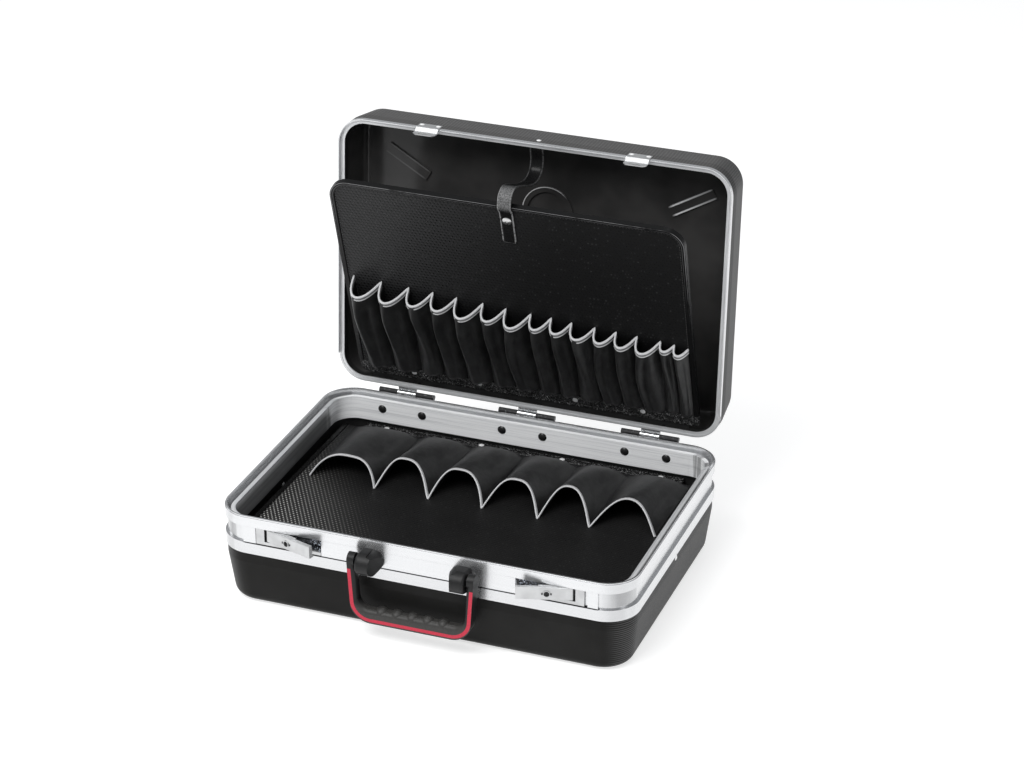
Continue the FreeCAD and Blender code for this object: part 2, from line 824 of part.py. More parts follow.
def hinge_base_leaf(centre):
    """Stepped leaf: seated in the back channel, then out and up to two outer knuckles."""
    x0 = centre - hinge_half
    x1 = centre + hinge_half
    y_web = half_depth - channel_depth
    y_face = half_depth + clearance
    z_step = channel_top - leaf_wall - clearance
    plate = box(x0, x1, y_web, y_web + leaf_wall, lip_top - base_rivet_drop - base_leaf_drop / 2 + leaf_wall,
                z_step + leaf_wall)
    step = box(x0, x1, y_web, y_face + leaf_wall, z_step, z_step + leaf_wall)
    z_knuckle = hinge_z - knuckle_radius
    rise = box(x0, x1, y_face, y_face + leaf_wall, z_step, z_knuckle + leaf_wall)
    foot = box(x0, x1, y_face, hinge_y, z_knuckle, z_knuckle + leaf_wall)
    inner = lid_knuckle_half + knuckle_gap
    shape = fuse([plate, step, rise, foot, knuckle(x0, centre - inner), knuckle(centre + inner, x1)])
    relief = rod(knuckle_radius + knuckle_gap, 2 * inner, V(centre - inner, hinge_y, hinge_z), X_AXIS)
    shape = shape.cut(relief).cut(hinge_pin_bore_fixed())
    for side in (-1, 1):
        base, axis = base_rivet_line(centre + side * base_rivet_offset)
        shape = shape.cut(rod(rivet_radius, ridge_inner, base - axis * ridge_inner, axis))
    return solid_of(shape)


def hinge_pin_bore_fixed():
    return rod(pin_radius, case_width + 2 * overrun, V(-half_width - overrun, hinge_y, hinge_z), X_AXIS)


def hinge_pin(centre):
    return rod(pin_radius, 2 * hinge_half, V(centre - hinge_half, hinge_y, hinge_z), X_AXIS)


def lid_rivet_line(x):
    """Base and axis of one hinge rivet in the lid, seated on the inner rail."""
    inset = lid_inset + lid_shell_wall + clearance / 2 + lid_rail_wall
    return V(x, half_depth - inset, lid_web_top + lid_rivet_rise), V(0, -1, 0)


def hinge_lid_leaf(centre):
    """Middle knuckle with a leaf over the lip and up the outside of the lid's back wall."""
    y_wall = half_depth - lid_inset
    z0 = hinge_z + knuckle_radius - leaf_wall
    neck = box(centre - lid_knuckle_half, centre + lid_knuckle_half, y_wall, hinge_y, z0, z0 + leaf_wall)
    cross = box(centre - hinge_half, centre + hinge_half, y_wall, y_wall + leaf_wall, z0, z0 + lid_leaf_rise)
    barrel = knuckle(centre - lid_knuckle_half, centre + lid_knuckle_half)
    shape = fuse([neck, cross, barrel]).cut(hinge_bore())
    for side in (-1, 1):
        base, axis = lid_rivet_line(centre + side * lid_rivet_offset)
        shape = shape.cut(rod(rivet_radius, ridge_inner, base - axis * ridge_inner, axis))
    return opened(solid_of(shape))


def hinge_rivets_base():
    out = []
    length = ridge_inner - channel_depth + leaf_wall
    for x in base_rivet_places():
        base, axis = base_rivet_line(x)
        out.append(rivet(rivet_radius, length, dome_radius, dome_height,
                         rivet_tail_radius, rivet_tail_height, base, axis))
    return Part.makeCompound(out)


def hinge_rivets_lid():
    out = []
    length = lid_shell_wall + clearance / 2 + lid_rail_wall + leaf_wall
    for x in lid_rivet_places():
        base, axis = lid_rivet_line(x)
        out.append(rivet(rivet_radius, length, dome_radius * lid_rivet_share, dome_height * lid_rivet_share,
                         rivet_tail_radius, rivet_tail_height, base, axis))
    return opened(Part.makeCompound(out))


# Lid

def lid_frame():
    """Flanged frame; the flange stops short of the back so that it clears the ridge as the lid turns."""
    inner = lid_inset + lid_web_width
    shape = fuse([
        ring(lid_inset, lid_inset + lid_flange_wall, lid_face, lid_web_top),
        ring(lid_inset, inner, lid_web_low, lid_web_top),
    ])
    seam = ring(lid_inset + lid_seam_offset, lid_inset + lid_seam_offset + lid_seam_width,
                lid_web_low - overrun, lid_web_low + lid_seam_depth)
    relief = box(-half_width, half_width, half_depth - corner_radius, half_depth,
                 lid_face - overrun, lid_web_low)
    return opened(solid_of(shape.cut(seam).cut(relief)))


def lid_rail_inset():
    return lid_inset + lid_shell_wall + clearance / 2


def lid_wall_holes():
    """Holes for hinge rivets, hasp rivets and the strap rivet through the lid's rim."""
    holes = []
    reach = lid_inset + lid_shell_wall + lid_rail_wall + overrun
    for x in lid_rivet_places():
        holes.append(rod(rivet_radius, reach, V(x, half_depth - reach, lid_web_top + lid_rivet_rise), Y_AXIS))
    for x, z in hasp_rivet_places() + [(strap_x, strap_rivet_z())]:
        holes.append(rod(rivet_radius, reach, V(x, -half_depth, z), Y_AXIS))
    return fuse(holes)


def lid_inner_rail():
    u = lid_rail_inset()
    shape = ring(u, u + lid_rail_wall, lid_web_top, lid_web_top + lid_rail_height)
    return opened(solid_of(shape.cut(lid_wall_holes())))


def lid_cap(step, top_z, top_round):
    inset = lid_inset + step
    z0 = lid_web_top
    z_rim = lid_web_top + lid_rim_height
    share = (top_z - z_rim) / (lid_top - z_rim)
    rim = case_block(inset, z0 - (overrun if step else 0), z_rim)
    low = case_wire(inset, z_rim)
    high = case_wire(inset + lid_top_inset * share, top_z, corner_radius - inset - lid_top_inset / 3)
    taper = Part.makeLoft([low, high], True, True)
    edges = [e for e in taper.Edges if e.BoundBox.ZMin > top_z - clearance]
    taper = taper.makeFillet(top_round, edges)
    return rim.fuse(taper).removeSplitter()


def lid_beads():
    """Raised beads on the inside of the lid's top: two slanting ribs and a plain round one."""
    z = lid_top - lid_shell_wall - bead_height
    beads = []
    for side in (-1, 1):
        start = V(side * (half_width - bead_outer), -bead_front, z)
        end = V(side * (half_width - bead_inner), -bead_front + bead_run, z)
        along = end - start
        across = V(-along.y, along.x, 0).normalize() * (bead_width / 2)
        beads.append(polygon_prism([start + across, end + across, end - across, start - across],
                                   V(0, 0, bead_height + lid_shell_wall / 2)))
    centre = V(0, -disc_centre_back, z)
    outer = rod(disc_radius, bead_height + lid_shell_wall / 2, centre, Z_AXIS)
    inner = rod(disc_radius - bead_width / 2, bead_height + lid_shell_wall, centre, Z_AXIS)
    beads.append(outer.cut(inner))
    return beads


def lid_shell():
    outer = lid_cap(0, lid_top, lid_top_round)
    inner = lid_cap(lid_shell_wall, lid_top - lid_shell_wall, lid_top_round - lid_shell_wall)
    shape = fuse([outer.cut(inner)] + lid_beads())
    return opened(solid_of(shape.cut(lid_wall_holes())))


# Hasps and strap rivet on the lid's front wall

def hasp_rivet_places():
    half = hasp_rivet_spacing / 2
    z = lid_face + hasp_rivet_rise
    return [(side * hasp_x + k * half, z) for side in (-1, 1) for k in (-1, 1)]


def hasp():
    """Plate on the lid's front edge that steps in under the flange and ends in a slotted tab."""
    y_plate = -half_depth + lid_inset - hasp_wall
    y_tab = -half_depth + hasp_inset
    z_top = lid_face + hasp_rise
    z_step = lid_face - clearance
    z_tab = z_step - hasp_bend
    z_end = lid_face - hasp_reach
    side = [
        V(hasp_x - hasp_half, y_plate, z_top), V(hasp_x - hasp_half, y_plate + hasp_wall, z_top),
        V(hasp_x - hasp_half, y_plate + hasp_wall, z_step), V(hasp_x - hasp_half, y_tab + hasp_wall, z_tab),
        V(hasp_x - hasp_half, y_tab + hasp_wall, z_end), V(hasp_x - hasp_half, y_tab, z_end),
        V(hasp_x - hasp_half, y_tab, z_tab - hasp_wall / 2),
        V(hasp_x - hasp_half, y_plate, z_step - hasp_wall / 2),
    ]
    shape = polygon_prism(side, V(2 * hasp_half, 0, 0))
    for end in (-1, 1):
        x = hasp_x + end * hasp_half
        corner = [V(x + end * overrun, y_tab - overrun, z_end - overrun),
                  V(x - end * (hasp_tip_chamfer + overrun), y_tab - overrun, z_end - overrun),
                  V(x + end * overrun, y_tab - overrun, z_end + hasp_tip_chamfer + overrun)]
        shape = shape.cut(polygon_prism(corner, V(0, 3 * overrun, 0)))
    half = hasp_slot_length / 2
    slot = box(hasp_x - half, hasp_x + half, y_tab - overrun, y_tab + overrun,
               slot_z - hasp_slot_height / 2, slot_z + hasp_slot_height / 2)
    shape = shape.cut(slot)
    for x, z in hasp_rivet_places():
        if x > 0:
            shape = shape.cut(rod(rivet_radius, overrun * 2, V(x, y_plate - overrun, z), Y_AXIS))
    return solid_of(shape)


def hasp_rivets():
    out = []
    for x, z in hasp_rivet_places():
        base = V(x, -half_depth + lid_inset - hasp_wall, z)
        length = hasp_wall + lid_shell_wall + clearance / 2 + lid_rail_wall
        out.append(rivet(rivet_radius, length, dome_radius * hasp_rivet_share, rivet_tail_height,
                         rivet_tail_radius, rivet_tail_height, base, V(0, -1, 0)))
    return opened(Part.makeCompound(out))


def strap_rivet_z():
    return lid_web_top + strap_lid_rise


def strap_rivet():
    base = V(strap_x, -half_depth + lid_inset, strap_rivet_z())
    length = lid_shell_wall + clearance / 2 + lid_rail_wall + strap_wall
    return opened(rivet(rivet_radius, length, dome_radius * hasp_rivet_share, rivet_tail_height,
                        rivet_tail_radius, rivet_tail_height, base, V(0, -1, 0)))


# Lid tool panel. Drawn flat with x across, s as Y and d as Z, then placed in the lid.

def on_panel(shape):
    copy = shape.copy()
    copy.rotate(V(0, 0, 0), X_AXIS, 180 + panel_lean)
    copy.translate(V(0, panel_edge_back, panel_edge_z))
    return opened(copy)


def panel_outline(inset, low_s, d0, d1):
    corners = [panel_low_corner if low_s == 0 else clearance] * 2 + [panel_top_corner - inset] * 2
    wire = rounded_wire(-panel_half + inset, panel_half - inset, low_s, panel_length - inset, corners, d0)
    return Part.Face(wire).extrude(V(0, 0, d1 - d0))


def panel_start():
    return hem_length + hem_gap


def panel_rivet_places():
    return [-panel_rivet_outer, -panel_rivet_inner, panel_rivet_inner, panel_rivet_outer]


def lid_panel_board():
    return on_panel(solid_of(panel_outline(binding_width / 2, panel_start(), 0, panel_wall)))


def lid_panel_binding():
    """Bound edge wrapped round the board's two sides and top."""
    low = (panel_wall - binding_thick) / 2
    high = low + binding_thick
    outer = panel_outline(0, panel_start(), low, high)
    inner = box(-panel_half + binding_width, panel_half - binding_width, -overrun,
                panel_length - binding_width - panel_top_corner, low - overrun, high + overrun)
    core = panel_outline(binding_width, panel_start(), low - overrun, high + overrun)
    board = panel_outline(binding_width / 2, panel_start(), 0, panel_wall)
    shape = outer.cut(core).cut(inner).cut(board)
    return on_panel(solid_of(shape))


def lid_panel_hem():
    wire = rounded_wire(-panel_half, panel_half, 0, hem_length,
                        [panel_low_corner / 2, panel_low_corner / 2, clearance, clearance], 0)
    shape = Part.Face(wire).extrude(V(0, 0, panel_wall))
    for x in panel_rivet_places():
        shape = shape.cut(rod(rivet_radius, panel_wall * 3, V(x, panel_rivet_s, -panel_wall), Z_AXIS))
    return on_panel(solid_of(shape))


def lid_panel_bracket():
    """Angled strip behind the hem, carried out to the lid's inner rail."""
    x = panel_half - panel_low_corner
    low = rounded_wire(-x, x, clearance, hem_length - clearance, [clearance] * 4, -bracket_strip_wall)
    plate = Part.Face(low).extrude(V(0, 0, bracket_strip_wall))
    for px in panel_rivet_places():
        plate = plate.cut(rod(rivet_radius, overrun * 2, V(px, panel_rivet_s, -overrun), Z_AXIS))
    plate = on_panel(plate)
    plate.rotate(V(0, hinge_y, hinge_z), X_AXIS, lid_open_angle)
    back = half_depth - lid_rail_inset() - lid_rail_wall
    foot_z = panel_edge_z
    foot = box(-x, x, panel_edge_back - hem_length / 3, back, foot_z, foot_z + bracket_strip_wall)
    return opened(solid_of(fuse([plate, foot])))


def lid_panel_rivets():
    out = []
    length = panel_wall + bracket_strip_wall
    for x in panel_rivet_places():
        out.append(rivet(rivet_radius, length, panel_rivet_dome, rivet_tail_height,
                         rivet_tail_radius, rivet_tail_height, V(x, panel_rivet_s, panel_wall), Z_AXIS))
    return on_panel(Part.makeCompound(out))


def bellows(edges, bulge_share, base_d, low_s, grow):
    """Outline of side-by-side folds standing on the board, each with slanting sides and a round crown."""
    floor = V(0, 0, base_d)
    start = V(edges[0], low_s, 0) + floor
    end = V(edges[-1], low_s, 0) + floor
    parts = []
    last = start
    for x0, x1 in zip(edges[:-1], edges[1:]):
        width = x1 - x0
        rise = width * bulge_share
        shoulder = rise - width * crown_share + grow
        side = width * side_share - grow
        left = V(x0 + side, low_s, shoulder) + floor
        right = V(x1 - side, low_s, shoulder) + floor
        crown = V((x0 + x1) / 2, low_s, rise + grow) + floor
        seam = V(x1, low_s, pocket_seam_rise + grow if x1 != edges[-1] else 0) + floor
        parts.append(Part.LineSegment(last, left).toShape())
        parts.append(Part.Arc(left, crown, right).toShape())
        parts.append(Part.LineSegment(right, seam).toShape())
        last = seam
    parts.append(Part.LineSegment(end, start).toShape())
    return Part.Face(Part.Wire(parts))


def pocket_cut(offset):
    """Everything above the slanting mouth line of the lid pockets."""
    reach = pocket_open_reach * 2
    tip_left = pocket_left_s + offset
    tip_right = pocket_right_s + offset
    wide = panel_half
    slope = pocket_open_drop / pocket_open_reach
    left, right = pocket_seams[0], pocket_seams[-1]

    def point(x, d, high):
        share = (x - left) / (right - left)
        s = tip_left + (tip_right - tip_left) * share - slope * (d - panel_wall)
        return V(x, panel_length * 2 if high else s, d)

    ends = []
    for x in (-wide, wide):
        ends.append([point(x, 0, False), point(x, reach, False), point(x, reach, True), point(x, 0, True)])
    return Part.makeLoft([Part.makePolygon(end + [end[0]]) for end in ends], True, True)


def lid_pocket_body(grow, low_s):
    face = bellows(pocket_seams, pocket_bulge_share, panel_wall + clearance, low_s, grow)
    return face.extrude(V(0, pocket_left_s * 2, 0))


def lid_panel_pockets():
    return on_panel(solid_of(lid_pocket_body(0, pocket_low_s).cut(pocket_cut(0))))


def lid_pocket_trim():
    """Light binding that wraps the mouths of the lid pockets."""
    outer = lid_pocket_body(pocket_trim_wall + clearance, pocket_low_s).cut(pocket_cut(pocket_trim_wall))
    inner = lid_pocket_body(clearance, pocket_low_s - overrun)
    shape = outer.cut(inner).common(pocket_cut(-pocket_trim_drop))
    return on_panel(solid_of(shape))


# Strap

def strap():
    """Leather strap from the lid's front wall over the panel's top edge to its snap."""
    lid_u = lid_rail_inset() + lid_rail_wall
    anchor = V(0, -half_depth + lid_u, strap_rivet_z())
    direction = V(0, -math.cos(math.radians(panel_lean)), -math.sin(math.radians(panel_lean)))
    normal = V(0, math.sin(math.radians(panel_lean)), -math.cos(math.radians(panel_lean)))
    edge = V(0, panel_edge_back, panel_edge_z)
    web_edge = -half_depth + lid_inset + lid_web_width

    def on_board(s, d):
        return edge + direction * s + normal * d

    centre = [
        anchor + V(0, strap_wall / 2, rivet_radius * 2),
        V(0, anchor.y + strap_wall / 2, lid_web_top + clearance + strap_wall / 2),
        V(0, web_edge + clearance + strap_wall, lid_web_top + clearance + strap_wall / 2),
    ]
    for down, back in strap_sag_shares:
        centre.append(on_board(panel_length - strap_sag * down, -strap_back * back))
    for up, back in strap_rise_shares:
        centre.append(on_board(panel_length + strap_rise * up, -strap_back * back))
    centre += [
        on_board(panel_length + strap_rise * strap_turn_share, strap_front * strap_turn_share),
        on_board(panel_length, strap_front),
        on_board(strap_snap_s + snap_radius, panel_wall + clearance + strap_wall / 2),
        on_board(strap_end_s, panel_wall + clearance + strap_wall / 2),
    ]
    runs = []
    x0 = strap_x - strap_width / 2
    for a, b in zip(centre[:-1], centre[1:]):
        along = (b - a).normalize()
        side = V(0, -along.z, along.y) * (strap_wall / 2)
        runs.append(polygon_prism([V(x0, a.y, a.z) + side, V(x0, b.y, b.z) + side,
                                   V(x0, b.y, b.z) - side, V(x0, a.y, a.z) - side], V(strap_width, 0, 0)))
    for joint in centre[1:-1]:
        runs.append(rod(strap_wall / 2, strap_width, V(x0, joint.y, joint.z), X_AXIS))
    hole = rod(rivet_radius, overrun * 2, V(strap_x, anchor.y - overrun, anchor.z), Y_AXIS)
    return opened(solid_of(fuse(runs).cut(hole)))


def strap_snap():
    d = panel_wall + clearance + strap_wall
    return on_panel(dome(snap_radius, snap_height, V(strap_x, strap_snap_s, d), Z_AXIS))


# Base tool panel

def tray_hinge():
    return V(0, tray_back - tray_hem_gap / 2, tray_rear_z + tray_board_wall)


def tray_placed(shape):
    copy = shape.copy()
    copy.rotate(tray_hinge(), X_AXIS, -tray_tilt)
    return copy


def tray_outline(inset, z0, z1, y_back, back_corner):
    corners = [tray_corner - inset] * 2 + [back_corner] * 2
    wire = rounded_wire(-tray_half + inset, tray_half - inset, -tray_front + inset, y_back, corners, z0)
    return Part.Face(wire).extrude(V(0, 0, z1 - z0))


def tray_board_back():
    return tray_back - tray_hem_gap


def base_panel_board():
    top = tray_rear_z + tray_board_wall
    shape = tray_outline(binding_width / 2, tray_rear_z, top, tray_board_back(), clearance)
    return tray_placed(solid_of(shape))


def base_panel_binding():
    low = tray_rear_z + (tray_board_wall - binding_thick) / 2
    high = low + binding_thick
    outer = tray_outline(0, low, high, tray_board_back(), clearance)
    core = tray_outline(binding_width, low - overrun, high + overrun, tray_board_back() + overrun, clearance)
    board = tray_outline(binding_width / 2, tray_rear_z, tray_rear_z + tray_board_wall,
                         tray_board_back() + overrun, clearance)
    return tray_placed(solid_of(outer.cut(core).cut(board)))


def tray_rivet_places():
    return [-tray_rivet_outer, -tray_rivet_inner, tray_rivet_inner, tray_rivet_outer]


def tray_rivet_y():
    return tray_back + tray_hem_length / 2


def base_panel_hem():
    reach = half_depth - shell_rim_inset - shell_wall - rail_wall - clearance
    x = tray_half - tray_corner
    shape = box(-x, x, tray_back, reach, tray_rear_z, tray_rear_z + tray_board_wall)
    for rx in tray_rivet_places():
        start = V(rx, tray_rivet_y(), tray_rear_z - overrun)
        shape = shape.cut(rod(rivet_radius, overrun * 3, start, Z_AXIS))
    return solid_of(shape)


def base_panel_bracket():
    """Angle strip under the rear hem, seated on the inner rail."""
    u = shell_rim_inset + shell_wall + clearance / 2 + rail_wall
    reach = half_depth - u
    x = tray_half - tray_corner
    z1 = tray_rear_z
    z0 = z1 - bracket_strip_wall
    shelf = box(-x, x, tray_back + clearance, reach, z0, z1)
    drop = box(-x, x, reach - bracket_strip_wall, reach, z0 - rail_height / 3, z1)
    shape = fuse([shelf, drop])
    for rx in tray_rivet_places():
        shape = shape.cut(rod(rivet_radius, overrun * 2, V(rx, tray_rivet_y(), z0 - overrun), Z_AXIS))
    return solid_of(shape)


def base_panel_rivets():
    out = []
    for x in tray_rivet_places():
        base = V(x, tray_rivet_y(), tray_rear_z + tray_board_wall)
        length = tray_board_wall + bracket_strip_wall
        out.append(rivet(rivet_radius, length, panel_rivet_dome, rivet_tail_height,
                         rivet_tail_radius, rivet_tail_height, base, Z_AXIS))
    return Part.makeCompound(out)


def base_panel_rest(side):
    """Small ledge on the front wall that the base panel's front corner lies on."""
    u = shell_rim_inset + shell_wall + clearance / 2 + rail_wall
    y0 = -half_depth + u
    x = half_width - corner_radius - rest_width
    lean = math.tan(math.radians(tray_tilt)) * (tray_hinge().y + half_depth - u - rest_depth / 2)
    z1 = tray_rear_z + (tray_board_wall - binding_thick) / 2 + lean - clearance * 2
    block = polygon_prism([V(x, y0, z1 - rest_height), V(x, y0 + rest_depth, z1 - rest_height / 4),
                           V(x, y0 + rest_depth, z1), V(x, y0, z1)], V(rest_width, 0, 0))
    return block if side > 0 else mirrored(block)


def base_pocket_edges():
    return base_pocket_cusps


def base_panel_pockets():
    """Row of pockets as one body: each swells from its arched mouth back to the rear seam."""
    y_mouth = base_pocket_front
    y_back = tray_board_back() - base_pocket_end_gap
    z0 = tray_rear_z + tray_board_wall + clearance
    solids = []
    edges = base_pocket_edges()
    seam = base_pocket_rise / 4
    for x0, x1 in zip(edges[:-1], edges[1:]):
        front = arch_wire(x0, x1, y_mouth + base_pocket_lean, z0, base_pocket_rise)
        rear = arch_wire(x0, x1, y_back, z0, seam)
        body = Part.makeLoft([front, rear], True, True)
        nose = wedge_front(x0, x1, y_mouth, z0)
        solids.append(body)
        solids.append(nose.common(arch_block(x0, x1, z0, base_pocket_rise)))
    return tray_placed(solid_of(fuse(solids)))


def arch_wire(x0, x1, y, z0, rise):
    foot = base_pocket_rise / 10
    a = V(x0, y, z0)
    b = V(x1, y, z0)
    top = V((x0 + x1) / 2, y, z0 + rise)
    return Part.Wire([Part.LineSegment(a, a + V(0, 0, foot)).toShape(),
                      Part.Arc(a + V(0, 0, foot), top, b + V(0, 0, foot)).toShape(),
                      Part.LineSegment(b + V(0, 0, foot), b).toShape(),
                      Part.LineSegment(b, a).toShape()])


def arch_block(x0, x1, z0, rise):
    wire = arch_wire(x0, x1, base_pocket_front - overrun, z0, rise)
    return Part.Face(wire).extrude(V(0, base_pocket_lean + overrun, 0))


def wedge_front(x0, x1, y_mouth, z0):
    """Space behind the leaning mouth plane, between the sewn edge and the arch's top."""
    y1 = y_mouth + base_pocket_lean
    points = [V(x0, y_mouth, z0), V(x0, y1, z0), V(x0, y1, z0 + base_pocket_rise)]
    return polygon_prism(points, V(x1 - x0, 0, 0))


def base_pocket_trim():
    """Light binding along each arched mouth."""
    z0 = tray_rear_z + tray_board_wall + clearance
    lean = math.atan2(base_pocket_lean, base_pocket_rise)
    solids = []
    edges = base_pocket_edges()
    for x0, x1 in zip(edges[:-1], edges[1:]):
        foot = base_pocket_rise / 10
        a = V(x0 + clearance, 0, 0)
        b = V(x1 - clearance, 0, 0)
        length = math.hypot(base_pocket_lean, base_pocket_rise)
        mid = V((x0 + x1) / 2, 0, length)
        outer = Part.Wire([Part.LineSegment(a, a + V(0, 0, foot)).toShape(),
                           Part.Arc(a + V(0, 0, foot), mid, b + V(0, 0, foot)).toShape(),
                           Part.LineSegment(b + V(0, 0, foot), b).toShape(),
                           Part.LineSegment(b, a).toShape()])
        t = base_trim_wall * 2
        c = V(x0 + clearance + t, 0, -overrun)
        d = V(x1 - clearance - t, 0, -overrun)
        rise = V(0, 0, foot + overrun)
        inner = Part.Wire([Part.LineSegment(c, c + rise).toShape(),
                           Part.Arc(c + rise, mid - V(0, 0, t), d + rise).toShape(),
                           Part.LineSegment(d + rise, d).toShape(),
                           Part.LineSegment(d, c).toShape()])
        band = Part.Face(outer).extrude(V(0, -base_trim_wall, 0))
        hole = Part.Face(inner).extrude(V(0, -3 * base_trim_wall, 0))
        hole.translate(V(0, base_trim_wall, 0))
        band = band.cut(hole)
        band.rotate(V(0, 0, 0), X_AXIS, -math.degrees(lean))
        band.translate(V(0, base_pocket_front - clearance * math.cos(lean), z0 + clearance * math.sin(lean)))
        solids.append(band)
    return tray_placed(Part.makeCompound([s for band in solids for s in band.Solids]))


def pieces():
    right_housing = latch_housing()
    right_pin = latch_pivot_pin()
    lever = latch_lever()
    lock = lock_cylinder()
    hook = latch_hook()
    hook_pin = latch_hook_pin()
    right_hasp = hasp()
    out = {
        "base_shell": base_shell(),
        "base_frame": base_frame(),
        "base_inner_rail": base_inner_rail(),
        "side_rivets": side_rivets(),
        "front_trim_left": front_trim_left(),
        "front_trim_middle": front_trim_middle(),
        "front_trim_right": front_trim_right(),
        "latch_housing_left": mirrored(right_housing),
        "latch_housing_right": right_housing,
        "latch_pivot_pin_left": mirrored(right_pin),
        "latch_pivot_pin_right": right_pin,
        "latch_lever_left": mirrored(lever),
        "latch_lever_right": lever,
        "lock_cylinder_left": mirrored(lock),
        "lock_cylinder_right": lock,
        "latch_hook_left": mirrored(hook),
        "latch_hook_right": hook,
        "latch_hook_pin_left": mirrored(hook_pin),
        "latch_hook_pin_right": hook_pin,
        "handle_bracket_left": handle_bracket(-1),
        "handle_bracket_right": handle_bracket(1),
        "handle_bracket_rivets": handle_bracket_rivets(),
        "handle_pin_left": handle_pin(-1),
        "handle_pin_right": handle_pin(1),
        "handle_grip": handle_grip_node(),
        "handle_inlay": handle_inlay_body(),
        "hinge_rivets_base": hinge_rivets_base(),
        "hinge_rivets_lid": hinge_rivets_lid(),
        "lid_frame": lid_frame(),
        "lid_inner_rail": lid_inner_rail(),
        "lid_shell": lid_shell(),
        "hasp_left": opened(mirrored(right_hasp)),
        "hasp_right": opened(right_hasp),
        "hasp_rivets": hasp_rivets(),
        "strap": strap(),
        "strap_rivet": strap_rivet(),
        "strap_snap": strap_snap(),
        "lid_panel_board": lid_panel_board(),
        "lid_panel_binding": lid_panel_binding(),
        "lid_panel_hem": lid_panel_hem(),
        "lid_panel_bracket": lid_panel_bracket(),
        "lid_panel_rivets": lid_panel_rivets(),
        "lid_panel_pockets": lid_panel_pockets(),
        "lid_pocket_trim": lid_pocket_trim(),
        "base_panel_board": base_panel_board(),
        "base_panel_binding": base_panel_binding(),
        "base_panel_hem": base_panel_hem(),
        "base_panel_bracket": base_panel_bracket(),
        "base_panel_rivets": base_panel_rivets(),
        "base_panel_rest_left": base_panel_rest(-1),
        "base_panel_rest_right": base_panel_rest(1),
        "base_panel_pockets": base_panel_pockets(),
        "base_pocket_trim": base_pocket_trim(),
    }
    names = ["left", "middle", "right"]
    for name, centre in zip(names, hinge_centres()):
        out["hinge_base_leaf_" + name] = hinge_base_leaf(centre)
        out["hinge_lid_leaf_" + name] = hinge_lid_leaf(centre)
    out["hinge_pins"] = Part.makeCompound([hinge_pin(c) for c in hinge_centres()])
    return out


os.makedirs("parts", exist_ok=True)
for node, shape in pieces().items():
    box_mm = shape.BoundBox
    print("%-24s solids %d valid %s volume %.1f z %.1f to %.1f" % (
        node, len(shape.Solids), shape.isValid(), shape.Volume, box_mm.ZMin, box_mm.ZMax))
    shape.exportStep("parts/" + node + ".step")
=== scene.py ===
"""Hard tool case: materials, sewn goods, small fittings and studio, one operator for each group."""
import json
import math
import random
from functools import partialmethod

import bmesh
import bpy
from bpy.props import FloatProperty, IntProperty, PointerProperty
from mathutils import Matrix, Vector


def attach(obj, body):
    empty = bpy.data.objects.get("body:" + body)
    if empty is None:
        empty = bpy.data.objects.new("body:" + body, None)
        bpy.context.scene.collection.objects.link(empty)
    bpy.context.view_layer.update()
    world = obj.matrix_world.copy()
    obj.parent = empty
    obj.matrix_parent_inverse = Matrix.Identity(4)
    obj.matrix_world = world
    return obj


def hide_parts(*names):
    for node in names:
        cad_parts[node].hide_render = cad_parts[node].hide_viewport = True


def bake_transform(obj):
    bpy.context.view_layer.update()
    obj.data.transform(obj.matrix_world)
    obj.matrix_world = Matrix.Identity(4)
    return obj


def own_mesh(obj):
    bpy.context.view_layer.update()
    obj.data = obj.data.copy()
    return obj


bl_info = {
    "name": "Hard tool case looks",
    "version": (1, 0, 0),
    "blender": (4, 5, 0),
    "location": "View3D > Sidebar > Tool case",
    "description": "Materials, sewn panels, fittings and studio for a hard tool case",
    "category": "Object",
}

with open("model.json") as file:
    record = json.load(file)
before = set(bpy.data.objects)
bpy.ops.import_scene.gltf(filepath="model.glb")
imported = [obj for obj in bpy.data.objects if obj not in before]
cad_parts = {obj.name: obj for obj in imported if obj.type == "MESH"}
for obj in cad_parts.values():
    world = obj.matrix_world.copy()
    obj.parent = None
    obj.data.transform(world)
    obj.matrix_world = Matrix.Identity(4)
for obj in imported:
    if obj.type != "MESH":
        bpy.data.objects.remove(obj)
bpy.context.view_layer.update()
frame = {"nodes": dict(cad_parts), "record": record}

MM = 0.001

# Sizes shared with the solids, in millimetres
HALF_WIDTH = 240.0
HALF_DEPTH = 167.5
CORNER = 37.0
LIP_TOP = 111.4
HINGE = (HALF_DEPTH + 4.87, LIP_TOP)
LID_ANGLE = math.radians(93.26)
LID_FACE = 100.85
LID_TOP = LID_FACE + 65.1
PANEL_EDGE = (150.9, LID_FACE + 14.9)
LEAN = math.radians(20.6)
PANEL_HALF = 208.9
PANEL_LENGTH = 289.8
BOARD = 3.0
TRAY_Z = 67.0
TRAY_HINGE = (147.6, TRAY_Z + BOARD)
TRAY_TILT = math.radians(1.2)
TRAY_HALF = 221.0
TRAY_FRONT = 150.0
LATCH_PIVOT = (175.0, -HALF_DEPTH + 4.0)
LATCH_REST = math.radians(17.0)
CLOTH = 0.9
CHANNEL = (80.0, 98.5)
CHANNEL_FOOT = 78.95
LEVER_FOOT = 79.4
EDGE_CORNER = 24.0


def opened(x, y, z):
    """A point of the shut lid, carried to where it stands with the lid open."""
    c, s = math.cos(LID_ANGLE), math.sin(LID_ANGLE)
    dy, dz = y - HINGE[0], z - HINGE[1]
    return Vector((x, HINGE[0] + dy * c + dz * s, HINGE[1] - dy * s + dz * c))


def on_panel(x, s, d):
    """A point of the lid panel: x across, s up from its lower edge, d out of its face."""
    y = PANEL_EDGE[0] - math.cos(LEAN) * s + math.sin(LEAN) * d
    z = PANEL_EDGE[1] - math.sin(LEAN) * s - math.cos(LEAN) * d
    return opened(x, y, z)


